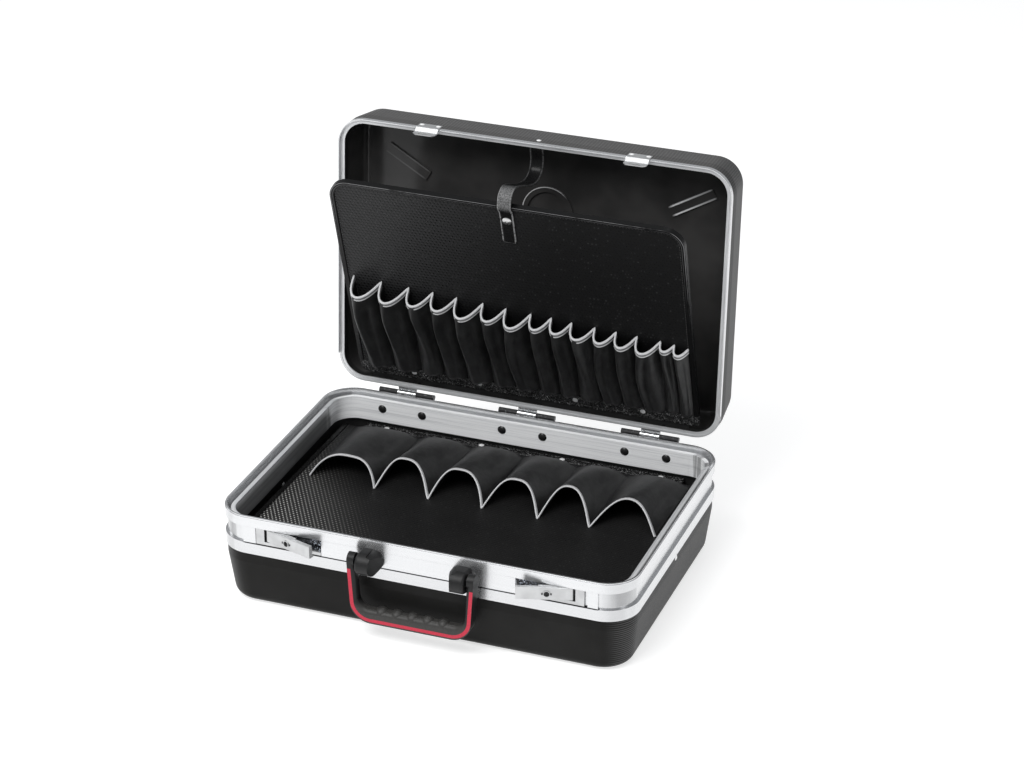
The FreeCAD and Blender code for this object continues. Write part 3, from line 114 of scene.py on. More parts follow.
def on_tray(x, y, h):
    """A point of the base panel: h above the underside of its board."""
    c, s = math.cos(-TRAY_TILT), math.sin(-TRAY_TILT)
    dy, dz = y - TRAY_HINGE[0], TRAY_Z + h - TRAY_HINGE[1]
    return Vector((x, TRAY_HINGE[0] + dy * c - dz * s, TRAY_HINGE[1] + dy * s + dz * c))


def smooth(lo, hi, value):
    """Smooth step from 0 at lo to 1 at hi."""
    t = min(max((value - lo) / (hi - lo), 0.0), 1.0)
    return t * t * (3 - 2 * t)


# Shader maths


class Num:
    """A shader value that plain formulas can use."""

    def __init__(self, graph, socket):
        self.graph = graph
        self.socket = socket

    def math(self, operation, *others, clamp=False):
        node = self.graph.node("ShaderNodeMath", operation=operation, use_clamp=clamp)
        for i, value in enumerate((self,) + others):
            self.graph.feed(node.inputs[i], value)
        return Num(self.graph, node.outputs[0])

    def __rsub__(self, other):
        return (self * -1) + other

    def clamp(self):
        return self.math("ADD", 0.0, clamp=True)

    def step(self, lo, hi):
        """Smooth step from 0 at lo to 1 at hi."""
        node = self.graph.node("ShaderNodeMapRange", interpolation_type="SMOOTHSTEP")
        self.graph.feed(node.inputs["Value"], self)
        node.inputs["From Min"].default_value = lo
        node.inputs["From Max"].default_value = hi
        return Num(self.graph, node.outputs["Result"])


for method, operation in {
    "__add__": "ADD", "__radd__": "ADD", "__sub__": "SUBTRACT", "__mul__": "MULTIPLY", "__rmul__": "MULTIPLY",
    "__truediv__": "DIVIDE", "abs": "ABSOLUTE", "sin": "SINE", "floor": "FLOOR", "fract": "FRACT", "sqrt": "SQRT",
    "least": "MINIMUM", "most": "MAXIMUM", "power": "POWER",
}.items():
    setattr(Num, method, partialmethod(Num.math, operation))


class Graph:
    """One material's node tree, with a plain way to add and join nodes."""

    def __init__(self, name):
        self.material = bpy.data.materials.new(name)
        self.material.use_nodes = True
        self.tree = self.material.node_tree
        self.tree.nodes.clear()
        self.output = self.node("ShaderNodeOutputMaterial")
        self.shader = self.node("ShaderNodeBsdfPrincipled")
        self.tree.links.new(self.shader.outputs[0], self.output.inputs["Surface"])

    def node(self, kind, **settings):
        node = self.tree.nodes.new(kind)
        for key, value in settings.items():
            setattr(node, key, value)
        return node

    def feed(self, socket, value):
        if isinstance(value, Num):
            self.tree.links.new(value.socket, socket)
        elif isinstance(value, bpy.types.NodeSocket):
            self.tree.links.new(value, socket)
        elif isinstance(value, tuple):
            socket.default_value = (*value, 1)
        else:
            socket.default_value = value

    def coordinates(self, kind):
        source = self.node("ShaderNodeTexCoord")
        split = self.node("ShaderNodeSeparateXYZ")
        self.tree.links.new(source.outputs[kind], split.inputs[0])
        return [Num(self, output) for output in split.outputs]

    def position(self, lid=False):
        """Millimetres from the origin, where every piece stands unturned; on the lid as if it were shut."""
        place = [part * (1 / MM) for part in self.coordinates("Object")]
        return self.shut(*place) if lid else place

    def uv(self):
        return self.coordinates("UV")[:2]

    def shut(self, x, y, z):
        """Coordinates on the lid as if it were shut."""
        c, s = math.cos(LID_ANGLE), math.sin(LID_ANGLE)
        dy, dz = y - HINGE[0], z - HINGE[1]
        return x, dy * c - dz * s + HINGE[0], dy * s + dz * c + HINGE[1]

    def inset(self, x, y):
        """Distance in from the case's rounded outline."""
        return self.rounded(x.abs() - (HALF_WIDTH - CORNER), y.abs() - (HALF_DEPTH - CORNER), CORNER)

    def up_panel(self, y, z):
        """How far up the lid panel a place on the shut lid is."""
        return (y - PANEL_EDGE[0]) * -math.cos(LEAN) - (z - PANEL_EDGE[1]) * math.sin(LEAN)

    def rounded(self, x, y, corner):
        """Distance in from an outline, given how far a point lies past the centre of its corner's round."""
        px, py = x.most(0.0), y.most(0.0)
        return ((px * px + py * py).sqrt() + x.most(y).least(0.0)) * -1 + corner

    def vector(self, x, y, z):
        node = self.node("ShaderNodeCombineXYZ")
        for socket, value in zip(node.inputs, (x, y, z)):
            self.feed(socket, value)
        return node.outputs[0]

    def noise(self, x, y, z, scale=1.0, detail=2.0, roughness=0.5):
        node = self.node("ShaderNodeTexNoise")
        self.feed(node.inputs["Vector"], self.vector(x, y, z))
        node.inputs["Scale"].default_value = scale
        node.inputs["Detail"].default_value = detail
        node.inputs["Roughness"].default_value = roughness
        return Num(self, node.outputs[0])

    def cells(self, x, y, z, scale=1.0):
        node = self.node("ShaderNodeTexVoronoi")
        self.feed(node.inputs["Vector"], self.vector(x, y, z))
        node.inputs["Scale"].default_value = scale
        return Num(self, node.outputs["Distance"])

    def mix(self, share, low, high):
        """Colour from low to high; low may be another mix."""
        node = self.node("ShaderNodeMix", data_type="RGBA")
        for key, value in (("Factor", share), ("A", low), ("B", high)):
            self.feed(node.inputs[key], value)
        return node.outputs["Result"]

    def bump(self, height, distance, strength=1.0):
        """Height from 0 to 1, standing distance millimetres proud."""
        node = self.node("ShaderNodeBump")
        self.feed(node.inputs["Height"], height)
        node.inputs["Distance"].default_value = distance * MM
        node.inputs["Strength"].default_value = strength
        return node.outputs[0]

    def set(self, **values):
        names = {"color": "Base Color", "coat": "Coat Weight", "sheen": "Sheen Weight",
                 "specular": "Specular IOR Level"}
        for key, value in values.items():
            self.feed(self.shader.inputs[names.get(key, key.replace("_", " ").title())], value)
        return self.material


# Materials


def aluminium(name, lid=False):
    """Drawn aluminium: lines along its run, brighter and duller on its inner walls; on the base, painted light and
    painted dark reflections lie on the inner walls, and painted shade and reflections on the front.
    """
    g = Graph(name)
    x, y, z = g.position(lid)
    inset = g.inset(x, y)
    lines = g.noise(inset, z, (x + y) * 0.004, scale=2.2, detail=4.0, roughness=0.7)
    bands = g.noise(inset, z, (x - y) * 0.003, scale=0.24)
    scuff = g.noise(x, y, z, scale=0.035, detail=3.0)
    streak = g.noise(inset * 0.4, z, (x + y) * 0.02, scale=1.1, detail=3.0, roughness=0.6)
    inner = inset.step(5.0, 6.5)
    outer = 1 - inner
    tone = (bands.step(0.3, 0.7) * (inner * 0.45 + 0.05) + streak.step(0.35, 0.65) * inner * 0.4 + outer * 0.4).clamp()
    if lid:
        color = g.mix(tone, (0.60, 0.605, 0.62), (0.84, 0.845, 0.85))
        metal = inner * -0.30 + 0.88
    else:
        # Painted light: the rear inner wall is painted bright, the side ones carry a painted dark reflection of the
        # inside, and the corners painted streaks of reflection
        wall = inner * (y - (HALF_DEPTH - 30.0)).step(0.0, 12.0)
        low = (x.abs() - 214.0).step(0.0, 14.0) * inner * (z - CHANNEL[1] + 0.5 - streak * 8.0).step(2.0, -8.0)
        turn = (y - 108.0).step(0.0, 18.0) * (x.abs() - 200.0).step(0.0, 12.0) * inner
        strip = g.noise((x - y) * 0.13, z * 0.004, 0.0, detail=3.0).step(0.46, 0.54)
        low = (low * (1 - turn) + turn * strip * 0.8).clamp()
        front = (y + 150.0).step(0.0, -8.0) * outer
        # Painted shade: a dark line where the trim meets the ledge at the foot of the front channel
        painted_gap_shade = (z - CHANNEL_FOOT).abs().step(0.85, 0.40) * front * (x.abs() - 205.0).step(1.5, -1.5)
        channel = (z - CHANNEL[0]).step(0.0, 2.0) * (z - CHANNEL[1]).step(0.0, -2.0)
        # Painted reflection: dark streaked patches round the front corners, stronger on the channel
        painted_corner_reflection = (x.abs() - 202.0).step(0.0, 24.0) * (y + 122.0).step(0.0, -26.0) * outer
        sheen = g.noise((x - y) * 0.09, z * 0.004, 2.0, detail=3.0).step(0.34, 0.66)
        painted_corner_reflection = painted_corner_reflection * (sheen * 0.62 + 0.14) * (channel * 0.7 + 0.3)
        # Painted shade: the lower band of the front a little darker, and the whole front slightly darker
        band = (z - CHANNEL_FOOT + 0.75).step(0.6, -0.6) * front
        low = (low + painted_corner_reflection + band * 0.10 + front * 0.05).clamp()
        # Painted light: the rear inner wall painted lighter and streaked along the brush lines
        tone = ((tone + wall * 0.55) * (1 - wall * 0.5 + wall * lines.step(0.40, 0.60)) - painted_gap_shade * 3.0).clamp()
        color = g.mix(tone, (0.57, 0.575, 0.59), (0.95, 0.955, 0.96))
        # Painted shade and painted reflections darken the masked places
        color = g.mix((painted_gap_shade * 0.9 + low * 0.70).clamp(), color, (0.02, 0.02, 0.022))
        metal = inner * -0.40 + 0.90 - wall * 0.47
    rough = lines * inner * 0.12 + scuff * 0.10 + inner * 0.12 + 0.20
    return g.set(color=color, metallic=metal, roughness=rough, normal=g.bump(lines * inner, 0.05, 0.6))


def latch_metal():
    g = Graph("latch_steel")
    x, y, z = g.position()
    lines = g.noise(x * 0.05, y * 0.05, z, scale=3.0, detail=3.0, roughness=0.6)
    cloud = g.noise(x, y, z, scale=0.06)
    # Painted shade: near-black in the slot beside the lever and along the lever's foot
    slot = (x.abs() - 178.5).abs().step(2.4, 1.5) * (y + 166.9).step(0.0, 0.3)
    foot = (z - LEVER_FOOT).abs().step(0.7, 0.3)
    shade = (cloud.step(0.35, 0.65) * 0.14 + 0.86) * (1 - (slot + foot).clamp() * 0.96)
    color = g.mix(shade, (0.0, 0.0, 0.0), (0.58, 0.585, 0.59))
    return g.set(color=color, metallic=0.75, roughness=lines * 0.14 + 0.30, normal=g.bump(lines, 0.03, 0.4))


def bright_metal(name, tone=0.82, rough=0.16, metal=1.0):
    g = Graph(name)
    x, y, z = g.position()
    cloud = g.noise(x, y, z, scale=0.5, detail=3.0)
    color = g.mix(cloud.step(0.35, 0.7), (tone, tone, tone), (tone * 0.86,) * 3)
    return g.set(color=color, metallic=metal, roughness=cloud * 0.18 + rough)


def leathergrain(g, x, y, z, size):
    """Fine pebbled grain, about size millimetres across."""
    cell = g.cells(x, y, z, scale=1 / size)
    soft = g.noise(x, y, z, scale=2.2 / size)
    return cell * 0.8 + soft * 0.3


def shell_plastic(name, lid=False):
    """Satin black shell: fine ribs on the sides, smoother at the front, glossy inside; painted highlights lie on the
    base's rib crests and the lid's beads, the lid's front wall and inside are painted lighter, and its sides painted
    darker.
    """
    g = Graph(name)
    look = bpy.context.scene.tool_case_look
    x, y, z = g.position(lid)
    inset = g.inset(x, y)
    turn = 2 * math.pi / look.rib_pitch
    ribs = (z * turn).sin() * 0.5 + 0.5
    grain = leathergrain(g, x, y, z, 0.9)
    if lid:
        run = (x.abs() - (HALF_WIDTH - CORNER)).step(0.0, 26.0)
        cross = ((x + y) * (turn * 0.72)).sin() * 0.5 + 0.5
        inside_line = (z - 119.6).step(0.0, 46.0) * 4.8 + 6.2
        inside = (inset - inside_line).step(-0.15, 0.15) * (z - (LID_TOP - 1.2)).step(0.2, -0.2)
        outer = cross * 0.7 + ribs * 0.3
        height = outer * 0.9 + grain * 0.2
        mask = 1 - inside
        rough = mask * 0.27 + grain * 0.04 + 0.13
        cloud = g.noise(x, y, z, scale=0.02)
        # Painted light: the lid's front wall painted lighter, most on its pattern, and its inside painted lighter
        front = (y + (HALF_DEPTH - CORNER)).step(0.0, -22.0) * mask
        shade = (front * (outer * 0.5 + 0.35) + inside * (cloud.step(0.35, 0.7) * 0.16 + 0.26)).clamp()
        # Painted shade: the lid's sides painted darker
        side = run * mask * 0.3
        # Painted highlights on the edges of the round bead and of the two slanting ones
        disc_y, bead_x, bead_y = y + 60.0, x.abs() - 198.0, y + 112.0
        radius = (x * x + disc_y * disc_y).sqrt()
        arc = (radius - 30.4).abs().step(0.7, 0.2) * (disc_y + x * 0.5).step(-6.0, -24.0)
        off = bead_x * 0.494 + bead_y * 0.869
        along = bead_x * -0.869 + bead_y * 0.494
        reach = along.step(-1.0, 4.0) * along.step(59.5, 52.0)
        edges = (off.abs() - 5.4).abs().step(1.5, 0.3) * reach
        fade = along.step(-10.0, 50.0) * 0.6 + 0.4
        bright = edges * (x.step(-10.0, 10.0) * 0.92 + 0.08) * fade + arc * 0.8
        lit = (bright * inside).clamp()
        color = g.mix((shade - side).clamp(), (0.0072, 0.0073, 0.0079), (0.105, 0.102, 0.100))
        return g.set(color=g.mix(lit, color, (0.75, 0.75, 0.76)), roughness=rough + run * 0.02, specular=0.24,
                     normal=g.bump(height * mask, 0.4, 0.9))
    side = (x.abs() - (HALF_WIDTH - CORNER)).step(6.0, 30.0)
    height = ribs * side * 0.9 + grain * (side * -0.5 + 1) * 0.3
    cloud = g.noise(x, y, z, scale=0.015, detail=3.0)
    # Painted highlights on the rib crests of the sides
    shade = (cloud.step(0.3, 0.7) * 0.06 + ribs.power(1.6) * side * 0.75).clamp()
    color = g.mix(shade, (0.0082, 0.0079, 0.0074), (0.10, 0.10, 0.101))
    return g.set(color=color, roughness=grain * 0.06 + 0.36, specular=0.10, normal=g.bump(height, 0.5, 0.9))


def matt_black(name, tone=0.012, rough=0.5, grain_size=0.7, depth=0.08, shine=0.3):
    g = Graph(name)
    x, y, z = g.position()
    grain = leathergrain(g, x, y, z, grain_size)
    cloud = g.noise(x, y, z, scale=0.03)
    color = g.mix(cloud.step(0.3, 0.7), (tone,) * 3, (tone * 1.5,) * 3)
    return g.set(color=color, roughness=grain * 0.12 + rough, specular=shine, normal=g.bump(grain, depth, 0.7))


def crinkled(name):
    """Glossy black hem of coarse crinkled leathercloth, its high spots rubbed light."""
    g = Graph(name)
    x, y, z = g.position()
    grain = leathergrain(g, x, y, z, 1.5)
    spots = g.noise(x, y, z, scale=0.62, detail=3.0, roughness=0.75).step(0.54, 0.64)
    patches = g.noise(x, y, z, scale=0.12).step(0.30, 0.55)
    color = g.mix((spots * patches).clamp(), (0.0085, 0.0085, 0.0087), (0.44, 0.44, 0.44))
    return g.set(color=color, roughness=grain * 0.14 + 0.18, specular=0.5,
                 normal=g.bump(grain + spots * 0.5, 0.6))


def lock_face():
    """Black lock disc and ears inside a thin light ring."""
    g = Graph("lock_face")
    x, y, z = g.position()
    centre = swung(LATCH_PIVOT[0] - 27.0, -HALF_DEPTH + 0.4, 91.15, 1)
    along = (x.abs() - centre.x) * math.cos(LATCH_REST) + (y - centre.y) * math.sin(LATCH_REST)
    rise = z - centre.z
    radius = (along * along + rise * rise).sqrt()
    ring = radius.step(3.0, 3.2) * radius.step(4.05, 3.9)
    color = g.mix(ring, (0.006, 0.006, 0.0065), (0.50, 0.505, 0.51))
    return g.set(color=color, metallic=ring * 0.6, roughness=0.3, specular=0.3)


def catch_zinc():
    """Metal deep in the latch window, painted near-black as the window's painted shade, with painted bluish highlights
    in spots.
    """
    g = Graph("catch_zinc")
    x, y, z = g.position()
    spots = g.noise(x, y, z, scale=0.55, detail=3.0, roughness=0.7).step(0.52, 0.62)
    tip = (x.abs() - 128.0).step(1.5, -6.0)
    # Painted bluish highlights in spots, most near the tip
    color = g.mix((spots * (tip * 0.8 + 0.2)).clamp(), (0.012, 0.013, 0.016), (0.62, 0.68, 0.78))
    return g.set(color=color, metallic=0.5, roughness=0.25)


def lid_binding():
    """Black piping round the lid panel with a painted highlight, a thin line near its edge on its upper part."""
    g = Graph("lid_binding")
    px, py, pz = g.position()
    x, y, z = g.shut(px, py, pz)
    v = g.up_panel(y, z)
    inset = g.rounded(x.abs() - (PANEL_HALF - EDGE_CORNER), v - (PANEL_LENGTH - EDGE_CORNER), EDGE_CORNER)
    grain = leathergrain(g, px, py, pz, 1.6)
    wear_and_shine = g.noise(x, y, z, scale=0.05, detail=3.0).step(0.30, 0.55)
    upper = v.step(150.0, 280.0)
    # Painted highlight: two thin lines along the piping's edge
    thin = (inset - 1.1).abs().step(0.55, 0.2) + (inset - 3.6).abs().step(0.4, 0.1) * 0.5
    color = g.mix((thin * wear_and_shine * upper).clamp(), (0.0052, 0.0052, 0.0054), (0.19, 0.19, 0.193))
    return g.set(color=color, roughness=grain * 0.08 + 0.20, specular=0.16, normal=g.bump(grain, 0.10, 0.7))


def hinge_black():
    """Black lacquered hinge with a knurled look and bare edges."""
    g = Graph("hinge_steel")
    x, y, z = g.position()
    knurl = (x * 3.4).sin() * ((y + z) * 3.4).sin() * 0.5 + 0.5
    worn = g.noise(x, y, z, scale=0.45, detail=3.0, roughness=0.7).step(0.60, 0.68)
    color = g.mix(worn, (0.011, 0.011, 0.012), (0.30, 0.30, 0.31))
    return g.set(color=color, metallic=worn * 0.9, roughness=knurl * 0.1 + 0.34,
                 normal=g.bump(knurl, 0.25, 0.8))


def board_cover(name, lid):
    """Black leathercloth embossed with small raised dots, with painted highlights on the dots and, on the lid, on the
    net between them, growing towards one corner.
    """
    painted_glint_tone = (0.085, 0.085, 0.087) if lid else (0.80, 0.79, 0.76)
    g = Graph(name)
    look = bpy.context.scene.tool_case_look
    u, y, z = g.position(lid)
    v = g.up_panel(y, z) if lid else y
    # Painted sheen that grows towards one corner
    if lid:
        sheen = (u * -1 - 10.0 + (v - 160.0) * 0.35).step(-60.0, 190.0)
    else:
        sheen = (u * -1 - 80.0 - (v + 150.0) * 0.60).step(-60.0, 110.0)
    column = u / look.dot_pitch
    row = v / (look.dot_pitch * 0.86)
    shift = (row.floor() * 0.5).fract()
    cx = (column + shift).fract() - 0.5
    cy = row.fract() - 0.5
    radius = (cx * cx + cy * cy * 0.74).sqrt()
    dots = radius.step(0.26, 0.10)
    fine = g.noise(u, v, z, scale=0.9)
    cloud = g.noise(u, v, z, scale=0.012)
    stray = g.noise(column.floor() + shift * 0.5, row.floor(), 0.0, scale=7.3, detail=0.0).step(0.60, 0.72)
    # Painted glints: on the lid the net between the dots in slanting rows and some stray dots, on the base the dot
    # tops
    if lid:
        slant = ((column - row * 0.5) * (2 * math.pi)).sin() * 0.25 + 0.75
        glint = (1 - radius.step(0.42, 0.24)) * sheen * slant * 0.42 + dots * stray * 0.34
    else:
        glint = radius.step(0.24, 0.08) * (sheen.power(1.4) * 0.95 + stray * 0.03) + sheen * 0.012
    color = g.mix((glint + cloud * 0.01).clamp(), (0.0068, 0.0068, 0.0070), painted_glint_tone)
    return g.set(color=color, roughness=fine * 0.10 + 0.34 - dots * 0.12, specular=0.14, coat=dots * sheen * 0.3,
                 coat_roughness=0.2, normal=g.bump(dots * (sheen * 0.8 + 0.2) + fine * 0.08, 0.55, 0.9))


def pocket_cloth(name, seed):
    """Black coated cloth with soft creases, painted darker in their hollows and lighter on their rises as painted
    shade and sheen, an even fine weave and a dull sheen.
    """
    g = Graph(name)
    x, y, z = g.position()
    u, v = g.uv()
    weave = ((u * 620.0).sin() * (v * 420.0).sin()) * 0.5 + 0.5
    crease = g.noise(u * 60.0, v * 6.0, x * 0.002 + seed, detail=4.0, roughness=0.6)
    speck = g.noise(x, y, z, scale=1.2)
    # Painted shade and sheen: the creases' hollows darker and their rises lighter
    color = g.mix(crease.step(0.35, 0.7), (0.0115, 0.0115, 0.0118), (0.0225, 0.0225, 0.0228))
    height = crease * 0.8 + weave * 0.05 + speck * 0.08
    return g.set(color=color, roughness=speck * 0.08 + 0.42, specular=0.30,
                 normal=g.bump(height, 1.1, 0.6))


def grey_tape(name, stitched):
    """Light grey bound tape: ribbed along its length, darker along its stitch line."""
    g = Graph(name)
    u, v = g.uv()
    x, y, z = g.position()
    ribs = (v * 44.0).sin() * 0.5 + 0.5
    thread = g.noise(u * 900.0, v * 6.0, 0.0)
    line = (v - 0.48).abs().step(0.22, 0.12)
    rim = v.step(0.90, 0.97)
    soil = g.noise(x, y, z, scale=0.2, detail=3.0)
    shade = (line * stitched + rim * 0.2 + ribs * 0.05 + thread * 0.18 + soil * 0.12).clamp()
    color = g.mix(shade, (0.70, 0.70, 0.71), (0.060, 0.060, 0.062))
    return g.set(color=color, roughness=0.5, sheen=0.2, normal=g.bump(ribs * 0.5 + thread * 0.4, 0.22, 0.7))


def strap_hide():
    g = Graph("strap_hide")
    x, y, z = g.position()
    u, v = g.uv()
    grain = leathergrain(g, x, y, z, 1.3)
    edge = (u - 0.5).abs().step(0.40, 0.43)
    wear_and_shine = g.noise(x, y, z, scale=0.35, detail=4.0, roughness=0.65)
    tail = v.step(0.985, 0.995)
    # Painted highlight across the front of the loop, and lighter grain at the riveted end
    loop = v.step(0.57, 0.63) * v.step(0.78, 0.70) + v.step(0.07, 0.02)
    glow = loop * (grain.step(0.25, 0.75) * 0.45 + 0.16)
    wear_and_highlight = ((edge * v.step(0.70, 0.80) + edge * 0.3 + tail) * wear_and_shine.step(0.30, 0.6) + glow).clamp()
    color = g.mix(wear_and_highlight, (0.0060, 0.0060, 0.0062), (0.24, 0.24, 0.242))
    groove = (u - 0.5).abs().step(0.37, 0.39) * (u - 0.5).abs().step(0.41, 0.40)
    return g.set(color=color, roughness=grain * 0.16 + 0.20, specular=0.14,
                 normal=g.bump(grain * 0.5 - groove * 0.6 + 0.5, 0.3, 0.7))


def red_rubber():
    g = Graph("red_inlay")
    x, y, z = g.position()
    speck = g.noise(x, y, z, scale=0.9, detail=3.0)
    color = g.mix(speck.step(0.3, 0.7), (0.44, 0.005, 0.030), (0.54, 0.010, 0.042))
    return g.set(color=color, roughness=speck * 0.15 + 0.32, normal=g.bump(speck, 0.06, 0.5))


def handle_plastic():
    """Charcoal moulded grip with a fine sparkle grain; its lower part is painted lighter, as painted sheen."""
    g = Graph("handle_black")
    x, y, z = g.position()
    grain = g.noise(x, y, z, scale=1.3, detail=3.0, roughness=0.65)
    # Painted sheen: the lower part of the grip lighter, mottled by the grain
    low = (z * -1 + 46.0).step(0.0, 10.0)
    painted_grip_sheen = (low * (grain.step(0.35, 0.7) * 0.55 + 0.45)).clamp()
    color = g.mix(painted_grip_sheen, (0.0085, 0.0085, 0.0088), (0.052, 0.050, 0.047))
    return g.set(color=color, roughness=grain * 0.2 + 0.34, specular=0.3, normal=g.bump(grain, 0.22, 0.8))


def thread_black():
    g = Graph("sewing_thread")
    x, y, z = g.position()
    twist = ((x + y + z) * 6.0).sin() * 0.5 + 0.5
    color = g.mix(twist, (0.02, 0.02, 0.02), (0.07, 0.07, 0.07))
    return g.set(color=color, roughness=0.45, sheen=0.2)


# Meshes


def show(name, data):
    """An object for a mesh, lamp or camera, put into the scene."""
    obj = bpy.data.objects.new(name, data)
    bpy.context.scene.collection.objects.link(obj)
    return obj


def piece(name, points, faces, material, body, slot, uvs=None, shade=True):
    """Mesh in millimetres, made into an object in metres, marked with the body it is to ride on and its slot."""
    mesh = bpy.data.meshes.new(name)
    mesh.from_pydata([Vector(p) * MM for p in points], [], faces)
    if uvs:
        layer = mesh.uv_layers.new(name="UVMap")
        for polygon in mesh.polygons:
            for loop in polygon.loop_indices:
                layer.data[loop].uv = uvs[mesh.loops[loop].vertex_index]
    mesh.materials.append(material)
    for polygon in mesh.polygons:
        polygon.use_smooth = shade
    obj = show(name, mesh)
    obj["case_body"] = body
    obj["case_slot"] = slot
    return obj


def seat(obj, *nodes):
    """Puts a finished piece on its body and hides the solids it stands for."""
    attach(obj, obj["case_body"])
    if nodes:
        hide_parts(*nodes)
    return obj


def settle(obj):
    """Turns modifiers into a plain mesh."""
    graph = bpy.context.evaluated_depsgraph_get()
    mesh = bpy.data.meshes.new_from_object(obj.evaluated_get(graph))
    obj.modifiers.clear()
    obj.data = mesh
    return obj


def outward(obj):
    grid = bmesh.new()
    grid.from_mesh(obj.data)
    bmesh.ops.recalc_face_normals(grid, faces=grid.faces)
    grid.to_mesh(obj.data)
    grid.free()
    return obj


def lattice(columns, rows):
    """Quads of a grid of columns by rows points, stored row after row."""
    faces = []
    for r in range(rows - 1):
        for c in range(columns - 1):
            a = r * columns + c
            faces.append((a, a + 1, a + columns + 1, a + columns))
    return faces


def cloth_of(name, rows, material, body):
    """Pocket cloth from rows of points, given its thickness."""
    columns = len(rows[0])
    points = [p for row in rows for p in row]
    uvs = [(c / (columns - 1), r / (len(rows) - 1)) for r in range(len(rows)) for c in range(columns)]
    obj = piece(name, points, lattice(columns, len(rows)), material, body, "pocket_fabric", uvs)
    solid = obj.modifiers.new("thickness", "SOLIDIFY")
    solid.thickness = CLOTH * MM
    solid.offset = 0.0
    return settle(obj)


def tube_along(name, sections, material, body, slot):
    """Closed band whose cross-sections are lists of points, one list for each place along it."""
    count, last = len(sections[0]), len(sections) - 1
    points = [p for section in sections for p in section]
    faces = []
    for i in range(last):
        for j in range(count):
            k = (j + 1) % count
            faces.append((i * count + j, i * count + k, (i + 1) * count + k, (i + 1) * count + j))
    faces.append(tuple(reversed(range(count))))
    faces.append(tuple(last * count + j for j in range(count)))
    uvs = []
    for i in range(last + 1):
        for j in range(count):
            v = j / (count / 2)
            uvs.append((i / last, v if v <= 1 else 2 - v))
    return outward(piece(name, points, faces, material, body, slot, uvs))


def columns_of(pockets, across):
    """Each column of points over a row of pockets: the pocket's number and the step across it."""
    return [(i, c) for i in range(pockets) for c in range(across + (i == pockets - 1))]


def finish_pockets(cloth, tape, nodes):
    for soft, node in ((cloth, nodes[0]), (tape, nodes[1])):
        seat(soft, node)
        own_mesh(soft)


# Lid pockets


LID_SEAMS = [-197.0, -163.0, -129.5, -100.0, -71.5, -39.5, -12.0, 18.0, 42.5, 66.5, 94.0, 119.0, 143.5, 171.0,
             187.0, 203.0]
LID_TIPS = [149.8, 147.4, 145.1, 143.4, 140.8, 139.0, 136.4, 134.6, 133.4, 130.9, 129.2, 127.9, 126.4, 124.6,
            122.4, 119.4]
LID_FULL = [0.76] * 9 + [0.70, 0.72, 0.74, 0.72, 0.70, 0.74]


def mouth_s(x, d):
    """Height of the pocket mouths up the lid panel, dropping away from the board."""
    i = max(k for k in range(len(LID_SEAMS) - 1) if k == 0 or x >= LID_SEAMS[k])
    share = min(max((x - LID_SEAMS[i]) / (LID_SEAMS[i + 1] - LID_SEAMS[i]), 0.0), 1.0)
    return LID_TIPS[i] + (LID_TIPS[i + 1] - LID_TIPS[i]) * share - 0.30 * (d - BOARD)


def lid_pocket_column(i, t, up, wobble):
    """A point across pocket i at t from 0 to 1; up is the share of the way to its mouth."""
    x0, x1 = LID_SEAMS[i], LID_SEAMS[i + 1]
    width = x1 - x0
    round_part = math.sin(math.pi * t)
    full = smooth(-0.15, 0.9, up) * 0.62 + 0.38
    fold = (1 - up) ** 0.8
    lean = -0.16 * up ** 0.6 + wobble * 0.22 * math.sin(math.pi * min(up * 1.15, 1.0))
    x = x0 + width * (t - 0.065 * math.sin(2 * math.pi * t) + lean * round_part)
    ridge = math.exp(-((t - 0.36 - 0.16 * wobble - 0.12 * fold) / 0.13) ** 2)
    dent = math.exp(-((t - 0.66 - 0.10 * wobble + 0.10 * fold) / 0.12) ** 2)
    swell = round_part ** 1.12
    d = BOARD + 0.6 + LID_FULL[i] * width * swell * full
    d += width * (0.20 * ridge - 0.26 * dent) * round_part * min(fold * 3.2, 1.0) * (0.45 + 0.55 * up)
    return x, max(d, BOARD + 0.6)


def build_lid_pockets():
    settings = bpy.context.scene.tool_case_sewing
    draw = random.Random(settings.seed)
    wobbles = [draw.uniform(-1.0, 1.0) for _ in LID_SEAMS[1:]]
    across, up = settings.columns, settings.rows
    columns = columns_of(len(wobbles), across)
    rows = []
    for r in range(up + 1):
        share = r / up
        row = []
        for i, c in columns:
            x, d = lid_pocket_column(i, c / across, share, wobbles[i])
            top = mouth_s(x, d) - 0.6
            low = 18.6 + 0.6 * math.sin(x * 0.11)
            row.append(on_panel(x, low + (top - low) * share, d))
        rows.append(row)
    cloth = cloth_of("lid_pocket_cloth", rows, pocket_cloth("pocket_cloth_lid", 1.7), "lid_panel")
    mouth = [lid_pocket_column(i, c / across, 1.0, wobbles[i]) for i, c in columns]
    wide = settings.tape_width
    outline = [(-wide, 0.7), (-wide * 0.86, 1.25), (-wide * 0.68, 1.05), (-wide * 0.5, 0.72),
               (-wide * 0.32, 1.05), (-wide * 0.14, 1.25), (0.3, 0.9), (0.6, 0.0), (0.3, -0.9),
               (-wide * 0.14, -1.1), (-wide * 0.5, -0.75), (-wide * 0.86, -1.1), (-wide, -0.7)]
    sections = []
    for i, (x, d) in enumerate(mouth):
        before, after = mouth[max(i - 1, 0)], mouth[min(i + 1, len(mouth) - 1)]
        dx, dd = after[0] - before[0], after[1] - before[1]
        length = math.hypot(dx, dd) or 1.0
        nx, nd = -dd / length, dx / length
        s = mouth_s(x, d)
        sections.append([on_panel(x + nx * off, s + ds, max(d + nd * off, BOARD + 0.15)) for ds, off in outline])
    tape = tube_along("lid_pocket_tape", sections, bpy.data.materials["woven_tape"], "lid_panel", "silver_binding")
    finish_pockets(cloth, tape, ("lid_panel_pockets", "lid_pocket_trim"))


# Base pockets

